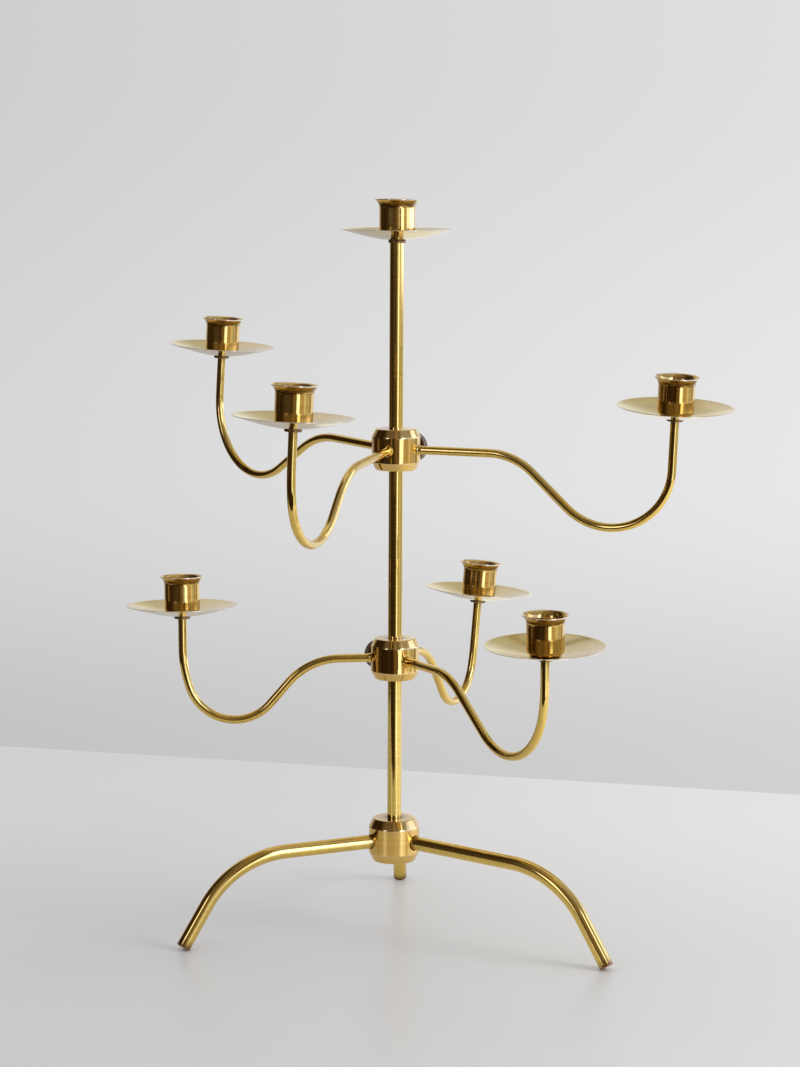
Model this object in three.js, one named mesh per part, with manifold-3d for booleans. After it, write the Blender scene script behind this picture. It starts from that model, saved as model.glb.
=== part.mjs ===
// Seven-light candelabra of polished brass, in millimetres, with +Z up and the feet on z = 0.
// A centre rod stands in a hub on three bent legs. Two more hubs are clamped on the rod by knurled
// thumbscrews. Each carries three S-bent arms, and every arm, like the rod, ends in a drip pan and a cup.
import * as THREE from 'three';
import { mergeVertices } from 'three/addons/utils/BufferGeometryUtils.js';
import Module from 'manifold-3d';

const wasm = await Module();
wasm.setup();

// Clearances: between pieces that are put together, and round pieces that slide or turn on each other
const seatGap = 0.3;
const slideGap = 0.15;

// Centre rod, a tube with a threaded plug in each end
const rodRadius = 5;
const rodWall = 1;
const rodTopHeight = 491.8;
const rodPlugLength = 16;

// Hubs: a turned drum with a chamfer at each end
const tierHubRadius = 17;
const tierHubHeight = 29;
const tierHubChamferHeight = 5.5;
const tierHubFaceRadius = 13.75;
const upperHubHeight = 347.5;
const lowerHubHeight = 199;
const baseHubRadius = 18;
const baseHubHeight = 31;
const baseHubChamferHeight = 6.2;
const baseHubFaceRadius = 14.8;
const baseHubCentre = 68.5;
const baseHubFloor = 4;

// Split sleeve inside each tier hub, which the thumbscrew presses on the rod
const sleeveWall = 1.2;
const sleeveSlit = 1.6;
const sleeveRecess = 0.8;
const sleeveStopHeight = 2.5;

// Arms, bent from solid rod, and the shallow flats milled on the hub round their roots
const armRadius = 3;
const armSocketDepth = 6;
const armSpotRadius = 5;
const armSpotDepth = 0.9;
const armRootRadius = 25;
const armEaseRadius = 90;
const armSides = 8;
const armStepAngle = 13;

// From the rod's axis to the end of the upper right arm. The tier's other arms differ by hand bending.
const upperReach = 202.1;

// Each arm has the bends that the photograph shows. Angles are in degrees, azimuth 0 is +X (right).
// reach: rod axis to arm end. rise: hub centre to arm end. rootLift: how far it points up outside the hub.
// straight: from the hub to the first bend. humpRadius and dive: that bend and the slope after it.
// bendRadius: the U bend, whose last easeAngle is wider. leanOut: at the end. roll: its turn in its socket.
const upperArms = [
  { name: 'upper_right', azimuth: -21.3, reach: upperReach, rise: 28.4, rootLift: 0, straight: 52.2,
    humpRadius: 45, dive: 43.5, bendRadius: 44.5, easeAngle: 1.2, leanOut: 3.3, roll: 3.7 },
  { name: 'upper_back', azimuth: 128.7, reach: upperReach + 10.6, rise: 51.8, rootLift: 2.1, straight: 52.3,
    humpRadius: 67.1, dive: 31.7, bendRadius: 51.3, easeAngle: 6.1, leanOut: -3.1, roll: 1.3 },
  { name: 'upper_front', azimuth: -110.3, reach: upperReach - 10, rise: 30.1, rootLift: -4.5, straight: 52.7,
    humpRadius: 50.3, dive: 49.9, bendRadius: 42.5, easeAngle: 14.4, leanOut: -0.8, roll: -2.1 },
];
const lowerArms = [
  { name: 'lower_left', azimuth: 178.7, reach: 150.6, rise: 27.4, rootLift: -1.9, straight: 21.2,
    humpRadius: 49, dive: 49.4, bendRadius: 33.4, easeAngle: 18.7, leanOut: 0.7, roll: 2.3 },
  { name: 'lower_front', azimuth: -60.3, reach: 197.5, rise: 30.2, rootLift: 0, straight: 39.6,
    humpRadius: 53, dive: 36.8, bendRadius: 47.8, easeAngle: 13, leanOut: 2.4, roll: 1.7 },
  { name: 'lower_back', azimuth: 63.9, reach: 137.9, rise: 21.4, rootLift: 0, straight: 12.8,
    humpRadius: 45.5, dive: 49.2, bendRadius: 28, easeAngle: 9.6, leanOut: 3.3, roll: 3.3 },
];

// Legs, bent from tube of the rod's diameter. They point down by legDroop where they leave the hub.
// reach: rod axis to the middle of the foot. dive: the slope down to the foot.
const legRadius = 5;
const legWall = 1.5;
const legSocketDepth = 9;
const legRootDrop = 1.2;
const legRootRadius = 60;
const legDroop = 2.2;
const legBendRadius = 70;
const legStepAngle = 8;
const legs = [
  { name: 'left', azimuth: 198.8, reach: 155.3, dive: 59.2 },
  { name: 'right', azimuth: -33, reach: 174, dive: 57.3 },
  { name: 'back', azimuth: 88.2, reach: 151, dive: 58.2 },
];

// Plug in each foot, filed flat where it stands on the table
const footPlugHead = 1.4;
const footPlugRound = 0.5;
const footPlugSpigot = 9;
const footFlatDepth = 0.6;

// Collar ring under each drip pan
const armCollarRadius = 5.75;
const rodCollarRadius = 6.1;
const collarThickness = 1;

// Drip pan: a shallow spun dish with a flat middle, steeper towards its thin rim
const panRadius = 40;
const panFlatRadius = 9;
const panDepth = 7.2;
const panThickness = 0.8;
const panCurve = 1.3;

// Candle cup: a drawn cup with a round bottom corner and a flared lip, for a 22 mm candle
const candleRadius = 11;
const candlePlay = 0.6;
const cupWall = 0.9;
const cupFloor = 1.1;
const cupHeight = 27;
const cupCorner = 4;
const cupFlareHeight = 6;
const cupFlareWidth = 3.1;

// Screw through each cup's floor, its pan and its collar
const cupScrewRadius = 1.5;
const cupScrewLength = 11;
const cupScrewHeadRadius = 3.2;
const cupScrewHeadHeight = 1.8;
const screwSlotWidth = 0.9;
const screwSlotDepth = 0.9;

// Screw from below through the base hub into the rod's lower plug
const baseScrewRadius = 2;
const baseScrewLength = 16;
const baseScrewHeadRadius = 4.5;
const baseScrewHeadHeight = 3;
const baseScrewRecess = 3.6;

// Knurled thumbscrew in each tier hub. Its azimuth is set in the widest space between two arms.
const thumbHeadRadius = 10;
const thumbHeadThickness = 5;
const thumbRidges = 30;
const thumbRidgeHeight = 0.5;
const thumbNeckRadius = 4.5;
const thumbNeckLength = 1.5;
const thumbShankRadius = 2.7;
const upperThumbAzimuth = 50;
const lowerThumbAzimuth = 128;

// Number of facets round each kind of turned piece
const hubSides = 24;
const rodSides = 16;
const cupSides = 16;
const panSides = 24;
const legSides = 10;
const holeSides = 10;
const screwSides = 8;

const degrees = Math.PI / 180;

// Colours from the photograph
const brass = { color: 0xc9a253, roughness: 0.16, metalness: 1 };
const paleBrass = { color: 0xd4bd84, roughness: 0.22, metalness: 1 };
const darkBrass = { color: 0x6f5424, roughness: 0.4, metalness: 1 };
const steel = { color: 0x8d8878, roughness: 0.35, metalness: 1 };

// A mesh with its name and a material of its own
function piece(name, geometry, look) {
  const mesh = new THREE.Mesh(geometry, new THREE.MeshStandardMaterial(look));
  mesh.name = name;
  return mesh;
}

// One vertex for each corner, and no triangle without area
function weld(geometry) {
  geometry.deleteAttribute('normal');
  geometry.deleteAttribute('uv');
  const welded = mergeVertices(geometry, 1e-4);
  const corners = welded.index.array;
  const kept = [];
  for (let i = 0; i < corners.length; i += 3) {
    const [a, b, c] = corners.slice(i, i + 3);
    if (a !== b && b !== c && c !== a) kept.push(a, b, c);
  }
  welded.setIndex(kept);
  welded.computeVertexNormals();
  return welded;
}

// Three.js geometry to a solid for cutting and joining, and back
function solidOf(geometry) {
  const welded = weld(geometry);
  const mesh = new wasm.Mesh({
    numProp: 3,
    vertProperties: new Float32Array(welded.attributes.position.array),
    triVerts: new Uint32Array(welded.index.array),
  });
  return new wasm.Manifold(mesh);
}

function geometryOf(solid) {
  const mesh = solid.getMesh();
  const geometry = new THREE.BufferGeometry();
  const places = new Float32Array(mesh.numVert * 3);
  for (let i = 0; i < mesh.numVert; i += 1) {
    for (let k = 0; k < 3; k += 1) places[3 * i + k] = mesh.vertProperties[mesh.numProp * i + k];
  }
  geometry.setAttribute('position', new THREE.BufferAttribute(places, 3));
  geometry.setIndex([...mesh.triVerts]);
  geometry.computeVertexNormals();
  return geometry;
}

// A profile of [radius, height] pairs turned about Z. It goes out along the bottom and back at the top.
function turned(profile, sides) {
  const points = profile.map(([radius, height]) => new THREE.Vector2(radius, height));
  return weld(new THREE.LatheGeometry(points, sides).rotateX(Math.PI / 2));
}

function disc(radius, low, high, sides) {
  return turned([[0, low], [radius, low], [radius, high], [0, high]], sides);
}

function washer(inner, outer, low, high, sides) {
  return turned([[inner, low], [outer, low], [outer, high], [inner, high], [inner, low]], sides);
}

function box(sizeX, sizeY, sizeZ, x, y, z) {
  return new THREE.BoxGeometry(sizeX, sizeY, sizeZ).translate(x, y, z);
}

// A disc whose axis points outward at an azimuth, from radius near to radius far, at one height
function radialDisc(radius, near, far, azimuth, height, sides) {
  return disc(radius, near, far, sides)
    .rotateY(Math.PI / 2)
    .rotateZ(azimuth * degrees)
    .translate(0, 0, height);
}

// A path in the XZ plane made of straights and bends. It keeps the points that a bar is drawn through,
// each with the direction it goes in there, and cuts every bend into equal steps.
class BentPath {
  constructor(x, z, stepAngle) {
    this.points = [{ x, z, heading: 0 }];
    this.stepAngle = stepAngle * degrees;
  }

  get end() {
    return this.points.at(-1);
  }

  straight(length) {
    const { x, z, heading } = this.end;
    this.points.push({ x: x + length * Math.cos(heading), z: z + length * Math.sin(heading), heading });
    return this;
  }

  bend(radius, heading) {
    const from = this.end;
    const angle = heading - from.heading;
    const turn = Math.sign(angle);
    const centreX = from.x - turn * radius * Math.sin(from.heading);
    const centreZ = from.z + turn * radius * Math.cos(from.heading);
    const steps = Math.ceil(Math.abs(angle) / this.stepAngle);
    for (let i = 1; i <= steps; i += 1) {
      const at = from.heading + (angle * i) / steps;
      this.points.push({
        x: centreX + turn * radius * Math.sin(at),
        z: centreZ - turn * radius * Math.cos(at),
        heading: at,
      });
    }
    return this;
  }

  // A last straight, a bend and a second straight that end at the given place in the given direction
  reachTo(x, z, radius, heading, easeRadius = radius, easeAngle = 0) {
    const bent = new BentPath(this.end.x, this.end.z, 1);
    bent.points[0].heading = this.end.heading;
    bent.bend(radius, heading - easeAngle).bend(easeRadius, heading);
    const missingX = x - bent.end.x;
    const missingZ = z - bent.end.z;
    const across = Math.sin(heading - this.end.heading);
    const first = (missingX * Math.sin(heading) - missingZ * Math.cos(heading)) / across;
    const last = (missingZ * Math.cos(this.end.heading) - missingX * Math.sin(this.end.heading)) / across;
    return this.straight(first).bend(radius, heading - easeAngle).bend(easeRadius, heading).straight(last);
  }
}

// A round bar along a path, or a tube where it has an inner radius
function bentBar(path, outer, inner, sides) {
  const positions = [];
  const index = [];
  const rings = path.points.length;
  for (const radius of inner > 0 ? [outer, inner] : [outer]) {
    for (const { x, z, heading } of path.points) {
      for (let i = 0; i < sides; i += 1) {
        const angle = (2 * Math.PI * (i + 0.5)) / sides;
        const up = radius * Math.sin(angle);
        positions.push(x - up * Math.sin(heading), radius * Math.cos(angle), z + up * Math.cos(heading));
      }
    }
  }
  const face = (a, b, c, d) => index.push(a, b, c, a, c, d);
  for (let i = 0; i < sides; i += 1) {
    const j = (i + 1) % sides;
    for (let ring = 0; ring < rings - 1; ring += 1) {
      const here = ring * sides;
      const next = here + sides;
      face(here + i, here + j, next + j, next + i);
      if (inner > 0) {
        const wall = rings * sides;
        face(wall + here + j, wall + here + i, wall + next + i, wall + next + j);
      }
    }
    const last = (rings - 1) * sides;
    if (inner > 0) {
      const wall = rings * sides;
      face(j, i, wall + i, wall + j);
      face(last + i, last + j, wall + last + j, wall + last + i);
    } else if (i > 1) {
      index.push(0, i, i - 1, last, last + i - 1, last + i);
    }
  }
  const bar = new THREE.BufferGeometry();
  bar.setAttribute('position', new THREE.Float32BufferAttribute(positions, 3));
  bar.setIndex(index);
  return weld(bar);
}

// Turns in degrees at which the cup's corner and flare have their points
const cornerTurns = [0, 45, 90];
const flareTurns = [0, 42, 75];
const flareEnd = flareTurns.at(-1) * degrees;

// Sizes that follow from the ones above
const rodBore = rodRadius - rodWall;
const sleeveInner = rodRadius + slideGap;
const sleeveOuter = sleeveInner + sleeveWall;
const hubBore = sleeveOuter + slideGap;
const cupInner = candleRadius + candlePlay;
const cupOuter = cupInner + cupWall;
const collarBottom = seatGap;
const panBottom = collarBottom + collarThickness + seatGap;
const cupBottom = panBottom + panThickness + seatGap;
const cupScrewSeat = cupBottom + cupFloor + seatGap;
const cupScrewHole = cupScrewRadius + seatGap;
const cupScrewBoreDepth = cupScrewLength - cupScrewSeat + 2 * seatGap;
const baseHubBottom = baseHubCentre - baseHubHeight / 2;
const baseScrewSeat = baseHubBottom + baseScrewRecess;
const rodBottomHeight = baseScrewSeat + baseHubFloor + seatGap;
const baseScrewHole = baseScrewRadius + seatGap;

// Heights of the pan's underside, from its flat middle to its rim, as a power curve
function panHeight(radius) {
  const share = Math.max(radius - panFlatRadius, 0) / (panRadius - panFlatRadius);
  return panDepth * share ** panCurve;
}

function panGeometry() {
  const stations = [cupScrewHole, panFlatRadius, (panFlatRadius + panRadius) / 2, panRadius];
  const under = stations.map((r) => [r, panBottom + panHeight(r)]);
  const over = stations.map((r) => [r, panBottom + panHeight(r) + panThickness]).reverse();
  return turned([...under, ...over, under[0]], panSides);
}

// The cup's outside, corner and flare are quarter curves; the inside follows it at the wall's thickness
function cupOutline(offset, floor) {
  const outline = [];
  const corner = Math.max(cupCorner - offset, 0.5);
  const wallRadius = cupOuter - offset;
  for (const turn of cornerTurns) {
    const angle = turn * degrees;
    outline.push([wallRadius - corner * (1 - Math.sin(angle)), floor + corner * (1 - Math.cos(angle))]);
  }
  const flareStart = cupBottom + cupHeight - cupFlareHeight;
  for (const turn of flareTurns) {
    const angle = turn * degrees;
    const out = (1 - Math.cos(angle)) / (1 - Math.cos(flareEnd));
    const up = Math.sin(angle) / Math.sin(flareEnd);
    outline.push([wallRadius + cupFlareWidth * out, flareStart + cupFlareHeight * up]);
  }
  return outline;
}

function cupGeometry() {
  const outside = cupOutline(0, cupBottom);
  const inside = cupOutline(cupWall, cupBottom + cupFloor).toSpliced(1, 1).reverse();
  const hole = [[cupScrewHole, cupBottom + cupFloor], [cupScrewHole, cupBottom]];
  return turned([hole[1], ...outside, ...inside, ...hole], cupSides);
}

// A slotted screw that points down from its head's underside at one height
function slottedScrew(radius, length, headRadius, headHeight, seat) {
  const top = seat + headHeight;
  const body = solidOf(turned([
    [0, seat - length], [radius, seat - length], [radius, seat], [headRadius, seat],
    [headRadius, top - 0.4 * headHeight], [headRadius - 0.3 * headHeight, top], [0, top],
  ], screwSides));
  const slot = box(3 * headRadius, screwSlotWidth, 2 * screwSlotDepth, 0, 0, top);
  return geometryOf(body.subtract(solidOf(slot)));
}

// What stands on the end of an arm or of the rod: collar ring, drip pan, cup and the screw that holds them.
// Its own z = 0 is the end face that carries it.
function lightStack(name, collarRadius) {
  const stack = new THREE.Group();
  const collar = washer(cupScrewHole, collarRadius, collarBottom, collarBottom + collarThickness, holeSides);
  const screw = slottedScrew(
    cupScrewRadius, cupScrewLength, cupScrewHeadRadius, cupScrewHeadHeight, cupScrewSeat);
  stack.add(
    piece(`collar_${name}`, collar, darkBrass),
    piece(`drip_pan_${name}`, panGeometry(), paleBrass),
    piece(`candle_cup_${name}`, cupGeometry(), brass),
    piece(`cup_screw_${name}`, screw, steel),
  );
  return stack;
}

// Drum of a hub about z = 0
function hubDrum(radius, height, faceRadius, chamferHeight) {
  const half = height / 2;
  return solidOf(turned([
    [0, -half], [faceRadius, -half], [radius, chamferHeight - half],
    [radius, half - chamferHeight], [faceRadius, half], [0, half],
  ], hubSides));
}

function tierHubGeometry(arms, thumbAzimuth) {
  const half = tierHubHeight / 2;
  let hub = hubDrum(tierHubRadius, tierHubHeight, tierHubFaceRadius, tierHubChamferHeight);
  hub = hub.subtract(solidOf(disc(sleeveInner, -half - 1, half + 1, hubSides)));
  hub = hub.subtract(solidOf(disc(hubBore, -half - 1, half - sleeveStopHeight, hubSides)));
  for (const arm of arms) {
    const socket = radialDisc(
      armRadius + seatGap, tierHubRadius - armSocketDepth, tierHubRadius + 1, arm.azimuth, 0, holeSides);
    const spot = radialDisc(
      armSpotRadius, tierHubRadius - armSpotDepth, tierHubRadius + 1, arm.azimuth, 0, holeSides);
    hub = hub.subtract(solidOf(socket)).subtract(solidOf(spot));
  }
  const screwHole = radialDisc(
    thumbShankRadius + seatGap, 0, tierHubRadius + 1, thumbAzimuth, 0, holeSides);
  return geometryOf(hub.subtract(solidOf(screwHole)));
}

function sleeveGeometry(thumbAzimuth) {
  const half = tierHubHeight / 2;
  const top = half - sleeveStopHeight - seatGap;
  const bottom = sleeveRecess - half;
  const ring = solidOf(washer(sleeveInner, sleeveOuter, bottom, top, hubSides));
  const slit = box(2 * sleeveOuter, sleeveSlit, tierHubHeight, -sleeveOuter, 0, 0)
    .rotateZ(thumbAzimuth * degrees);
  return geometryOf(ring.subtract(solidOf(slit)));
}

// Thumbscrew along +Z: tip against the sleeve, shank through the hub's wall, neck, and knurled head
function thumbscrewGeometry() {
  const tip = sleeveOuter + seatGap;
  const neckStart = tierHubRadius + seatGap;
  const headStart = neckStart + thumbNeckLength;
  const headEnd = headStart + thumbHeadThickness;
  const outline = [];
  for (let i = 0; i < 2 * thumbRidges; i += 1) {
    const angle = (Math.PI * i) / thumbRidges;
    const radius = thumbHeadRadius - (i % 2) * thumbRidgeHeight;
    outline.push(new THREE.Vector2(radius * Math.cos(angle), radius * Math.sin(angle)));
  }
  const head = solidOf(new THREE.ExtrudeGeometry(
    new THREE.Shape(outline), { depth: thumbHeadThickness, bevelEnabled: false, steps: 1 })
    .translate(0, 0, headStart));
  const shank = solidOf(turned([
    [0, tip], [0.6 * thumbShankRadius, tip], [thumbShankRadius, tip + 0.5 * thumbShankRadius],
    [thumbShankRadius, neckStart], [thumbNeckRadius, neckStart], [thumbNeckRadius, headStart + 1],
    [0, headStart + 1],
  ], holeSides));
  const edge = thumbHeadRadius - 2 * thumbRidgeHeight;
  const dome = solidOf(turned([
    [0, headStart - 1], [thumbHeadRadius + 1, headStart - 1],
    [thumbHeadRadius + 1, headEnd - 1 - 2 * thumbRidgeHeight], [edge, headEnd], [0, headEnd],
  ], 24));
  return geometryOf(head.intersect(dome).add(shank));
}

// One arm in its own plane: X outward from the rod axis, Z up from the hub's centre
function armPath(arm) {
  const root = tierHubRadius - armSocketDepth + seatGap;
  const outside = tierHubRadius + seatGap;
  const endHeading = (90 - arm.leanOut) * degrees;
  const ease = arm.easeAngle * degrees;
  // The slope and the last upright take up what the bends leave of reach and rise
  return new BentPath(root, 0, armStepAngle)
    .straight(outside - root)
    .bend(armRootRadius, arm.rootLift * degrees)
    .straight(arm.straight)
    .bend(arm.humpRadius, -arm.dive * degrees)
    .reachTo(arm.reach, arm.rise, arm.bendRadius, endHeading, armEaseRadius, ease);
}

function armGeometry(arm) {
  const path = armPath(arm);
  const bar = solidOf(bentBar(path, armRadius, 0, armSides));
  const bore = disc(cupScrewHole, -cupScrewBoreDepth, 1, 8)
    .rotateY(arm.leanOut * degrees)
    .translate(path.end.x, 0, path.end.z);
  return geometryOf(bar.subtract(solidOf(bore)));
}

// A tier: its hub, sleeve, thumbscrew and three arms with their lights
function tier(name, height, arms, thumbAzimuth) {
  const group = new THREE.Group();
  group.position.z = height;
  const thumb = piece(`${name}_thumbscrew`, thumbscrewGeometry(), darkBrass);
  thumb.rotation.set(0, Math.PI / 2, 0);
  const thumbTurn = new THREE.Group();
  thumbTurn.rotation.z = thumbAzimuth * degrees;
  thumbTurn.add(thumb);
  group.add(
    piece(`${name}_hub`, tierHubGeometry(arms, thumbAzimuth), brass),
    piece(`${name}_sleeve`, sleeveGeometry(thumbAzimuth), brass),
    thumbTurn,
  );
  for (const arm of arms) {
    const plane = new THREE.Group();
    plane.rotation.set(arm.roll * degrees, 0, arm.azimuth * degrees, 'ZYX');
    const stack = lightStack(arm.name, armCollarRadius);
    stack.position.set(arm.reach, 0, arm.rise);
    stack.rotation.y = arm.leanOut * degrees;
    plane.add(piece(`arm_${arm.name}`, armGeometry(arm), brass), stack);
    group.add(plane);
  }
  return group;
}

// The rod, its plugs and the light on its top
function centreColumn() {
  const group = new THREE.Group();
  const plugRadius = rodBore - seatGap;
  const topPlug = washer(cupScrewHole, plugRadius, rodTopHeight - rodPlugLength, rodTopHeight, holeSides);
  const bottomPlug = washer(
    baseScrewHole, plugRadius, rodBottomHeight, rodBottomHeight + rodPlugLength, holeSides);
  const light = lightStack('top', rodCollarRadius);
  light.position.z = rodTopHeight;
  group.add(
    piece('centre_rod', washer(rodBore, rodRadius, rodBottomHeight, rodTopHeight, rodSides), brass),
    piece('rod_top_plug', topPlug, brass),
    piece('rod_bottom_plug', bottomPlug, brass),
    light,
  );
  return group;
}

// The base hub, with a blind bore for the rod, three leg sockets and a recess for the screw below
function baseHubGeometry() {
  const half = baseHubHeight / 2;
  let hub = hubDrum(baseHubRadius, baseHubHeight, baseHubFaceRadius, baseHubChamferHeight);
  const boreFloor = baseScrewSeat + baseHubFloor - baseHubCentre;
  hub = hub.subtract(solidOf(disc(rodRadius + seatGap, boreFloor, half + 1, hubSides)));
  hub = hub.subtract(solidOf(disc(baseScrewHole, -half - 1, half, holeSides)));
  hub = hub.subtract(solidOf(
    disc(baseScrewHeadRadius + seatGap, -half - 1, baseScrewRecess - half, holeSides)));
  for (const leg of legs) {
    const socket = radialDisc(legRadius + seatGap, baseHubRadius - legSocketDepth, baseHubRadius + 2,
      leg.azimuth, -legRootDrop, holeSides);
    hub = hub.subtract(solidOf(socket));
  }
  return geometryOf(hub);
}

// One leg in its own plane, from its socket to the middle of its cut end, where the plug's head begins
function legPath(leg) {
  const dive = leg.dive * degrees;
  const root = baseHubRadius - legSocketDepth + seatGap;
  const outside = baseHubRadius + seatGap;
  const faceHeight = legRadius * Math.cos(dive) - footFlatDepth;
  const plug = footPlugHead + seatGap;
  return new BentPath(root, baseHubCentre - legRootDrop, legStepAngle)
    .straight(outside - root)
    .bend(legRootRadius, -legDroop * degrees)
    .reachTo(leg.reach - plug * Math.cos(dive), faceHeight + plug * Math.sin(dive), legBendRadius, -dive);
}

// Round-edged plug in the leg's end. Its outer face is cut off where it would pass below the table.
function footPlugGeometry(leg) {
  const path = legPath(leg);
  const spigot = legRadius - legWall - seatGap;
  const plug = turned([
    [0, -footPlugSpigot], [spigot, -footPlugSpigot], [spigot, seatGap], [legRadius, seatGap],
    [legRadius, seatGap + footPlugHead - footPlugRound],
    [legRadius - footPlugRound, seatGap + footPlugHead], [0, seatGap + footPlugHead],
  ], holeSides)
    .rotateY(Math.PI / 2 + leg.dive * degrees)
    .translate(path.end.x, 0, path.end.z);
  const table = box(8 * legRadius, 8 * legRadius, 4 * legRadius, path.end.x, 0, -2 * legRadius);
  return geometryOf(solidOf(plug).subtract(solidOf(table)));
}

function base() {
  const group = new THREE.Group();
  const hub = piece('base_hub', baseHubGeometry(), brass);
  hub.position.z = baseHubCentre;
  const screw = slottedScrew(
    baseScrewRadius, baseScrewLength, baseScrewHeadRadius, baseScrewHeadHeight, seatGap)
    .rotateX(Math.PI)
    .translate(0, 0, baseScrewSeat);
  group.add(hub, piece('base_screw', screw, steel));
  for (const leg of legs) {
    const plane = new THREE.Group();
    plane.rotation.z = leg.azimuth * degrees;
    const tube = bentBar(legPath(leg), legRadius, legRadius - legWall, legSides);
    plane.add(
      piece(`leg_${leg.name}`, tube, brass),
      piece(`foot_plug_${leg.name}`, footPlugGeometry(leg), darkBrass),
    );
    group.add(plane);
  }
  return group;
}

// The whole object, moved so that the middle of its outline stands over the origin
const candelabra = new THREE.Group();
candelabra.add(
  base(),
  centreColumn(),
  tier('lower', lowerHubHeight, lowerArms, lowerThumbAzimuth),
  tier('upper', upperHubHeight, upperArms, upperThumbAzimuth),
);
const extent = new THREE.Box3().setFromObject(candelabra, true);
const middle = extent.getCenter(new THREE.Vector3());
candelabra.position.set(-middle.x, -middle.y, -extent.min.z);
candelabra.updateMatrixWorld(true);

export default candelabra;
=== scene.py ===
import math

import bmesh
import bpy
import numpy as np
from bpy.props import FloatProperty, FloatVectorProperty, IntProperty, PointerProperty
from mathutils import Matrix, Vector


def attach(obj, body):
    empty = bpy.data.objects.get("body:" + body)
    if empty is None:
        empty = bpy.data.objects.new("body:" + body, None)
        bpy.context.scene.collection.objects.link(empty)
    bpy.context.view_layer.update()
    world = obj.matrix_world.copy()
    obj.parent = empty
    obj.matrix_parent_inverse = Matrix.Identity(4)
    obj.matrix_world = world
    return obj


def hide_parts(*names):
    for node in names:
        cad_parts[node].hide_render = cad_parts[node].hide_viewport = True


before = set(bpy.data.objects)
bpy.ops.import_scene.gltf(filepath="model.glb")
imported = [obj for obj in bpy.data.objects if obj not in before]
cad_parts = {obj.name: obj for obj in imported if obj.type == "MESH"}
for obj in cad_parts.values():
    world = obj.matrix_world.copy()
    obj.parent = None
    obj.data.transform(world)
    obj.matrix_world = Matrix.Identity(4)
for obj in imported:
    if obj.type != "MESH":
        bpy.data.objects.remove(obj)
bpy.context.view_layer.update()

# Seven-light candelabra of polished brass. The frame holds its solids; the operators below make the
# finished surfaces that stand for them, in metres, each on the CAD body that carries it.

bl_info = {
    "name": "Seven-light candelabra",
    "version": (1, 0, 0),
    "blender": (4, 5, 0),
    "location": "View3D > Sidebar > Candelabra",
    "description": "Turned, bent and spun brass pieces of a seven-light candelabra, with its stage",
    "category": "Add Mesh",
}

# Where the centre rod stands, on the table
ROD_X = -0.018515
ROD_Y = 0.007074

# Height of each tier's hub centre above the table, and where its thumbscrew points, in degrees from +X
TIERS = {
    "upper": {"height": 0.3475, "thumb": 50.0},
    "lower": {"height": 0.1990, "thumb": 128.0},
}
BASE_HUB_HEIGHT = 0.0685

# The bends of each arm. Lengths are in metres and angles in degrees. reach: rod axis to arm end.
# rise: hub centre to arm end. lift: how far it points up outside the hub. straight: from there to the
# first bend. hump and dive: that bend's radius and the slope after it. bend: radius of the U bend, whose
# last part, ease, is wider. lean: outward lean of the arm's end. roll: the arm's turn in its socket.
ARMS = {
    "upper_right": {"azimuth": -21.3, "reach": 0.2021, "rise": 0.0284, "lift": 0, "straight": 0.0522,
                    "hump": 0.045, "dive": 43.5, "bend": 0.0445, "ease": 1.2, "lean": 3.3, "roll": 3.7},
    "upper_back": {"azimuth": 128.7, "reach": 0.2127, "rise": 0.0518, "lift": 2.1, "straight": 0.0523,
                   "hump": 0.0671, "dive": 31.7, "bend": 0.0513, "ease": 6.1, "lean": -3.1, "roll": 1.3},
    "upper_front": {"azimuth": -110.3, "reach": 0.1921, "rise": 0.0301, "lift": -4.5, "straight": 0.0527,
                    "hump": 0.0503, "dive": 49.9, "bend": 0.0425, "ease": 14.4, "lean": -0.8, "roll": -2.1},
    "lower_left": {"azimuth": 178.7, "reach": 0.1506, "rise": 0.0274, "lift": -1.9, "straight": 0.0212,
                   "hump": 0.049, "dive": 49.4, "bend": 0.0334, "ease": 18.7, "lean": 0.7, "roll": 2.3},
    "lower_front": {"azimuth": -60.3, "reach": 0.1975, "rise": 0.0302, "lift": 0, "straight": 0.0396,
                    "hump": 0.053, "dive": 36.8, "bend": 0.0478, "ease": 13, "lean": 2.4, "roll": 1.7},
    "lower_back": {"azimuth": 63.9, "reach": 0.1379, "rise": 0.0214, "lift": 0, "straight": 0.0128,
                   "hump": 0.0455, "dive": 49.2, "bend": 0.028, "ease": 9.6, "lean": 3.3, "roll": 3.3},
}

# Legs: azimuth in degrees, reach from the rod axis to the middle of the foot, and slope down to the foot
LEGS = {
    "left": {"azimuth": 198.8, "reach": 0.1553, "dive": 59.2},
    "right": {"azimuth": -33.0, "reach": 0.1740, "dive": 57.3},
    "back": {"azimuth": 88.2, "reach": 0.1510, "dive": 58.2},
}

# Gaps between pieces that touch, and round the rod and the sleeves, which slide and turn
SEAT_GAP = 0.0003
SLIDE_GAP = 0.00015

# Rounding of a bar's cut ends
BAR_EDGE = 0.0003

# A leg's depth in the base hub, which is also a foot plug's depth in its leg, and the plug's head
LEG_SOCKET = 0.009
PLUG_HEAD = 0.0014

# Screws: radius and length of the shank with the rounding of its tip, radius and height of the head
# with the width of its dome and the rounding of its edge. Both kinds have the same slot.
BASE_SCREW = {"shank": 0.0020, "length": 0.016, "tip": 0.0004, "head": 0.0045, "height": 0.0030,
              "dome": 0.0007, "edge": 0.0006}
CUP_SCREW = {"shank": 0.0015, "length": 0.011, "tip": 0.0003, "head": 0.0032, "height": 0.0018,
             "dome": 0.0006, "edge": 0.0004}
SLOT_HALF = 0.00045
SLOT_DEPTH = 0.0009

# The hole for the cup screw, in an arm's end, a collar, a pan and a cup's floor
LIGHT_HOLE = CUP_SCREW["shank"] + SEAT_GAP
ARM_BORE_DEPTH = 0.0075

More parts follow.
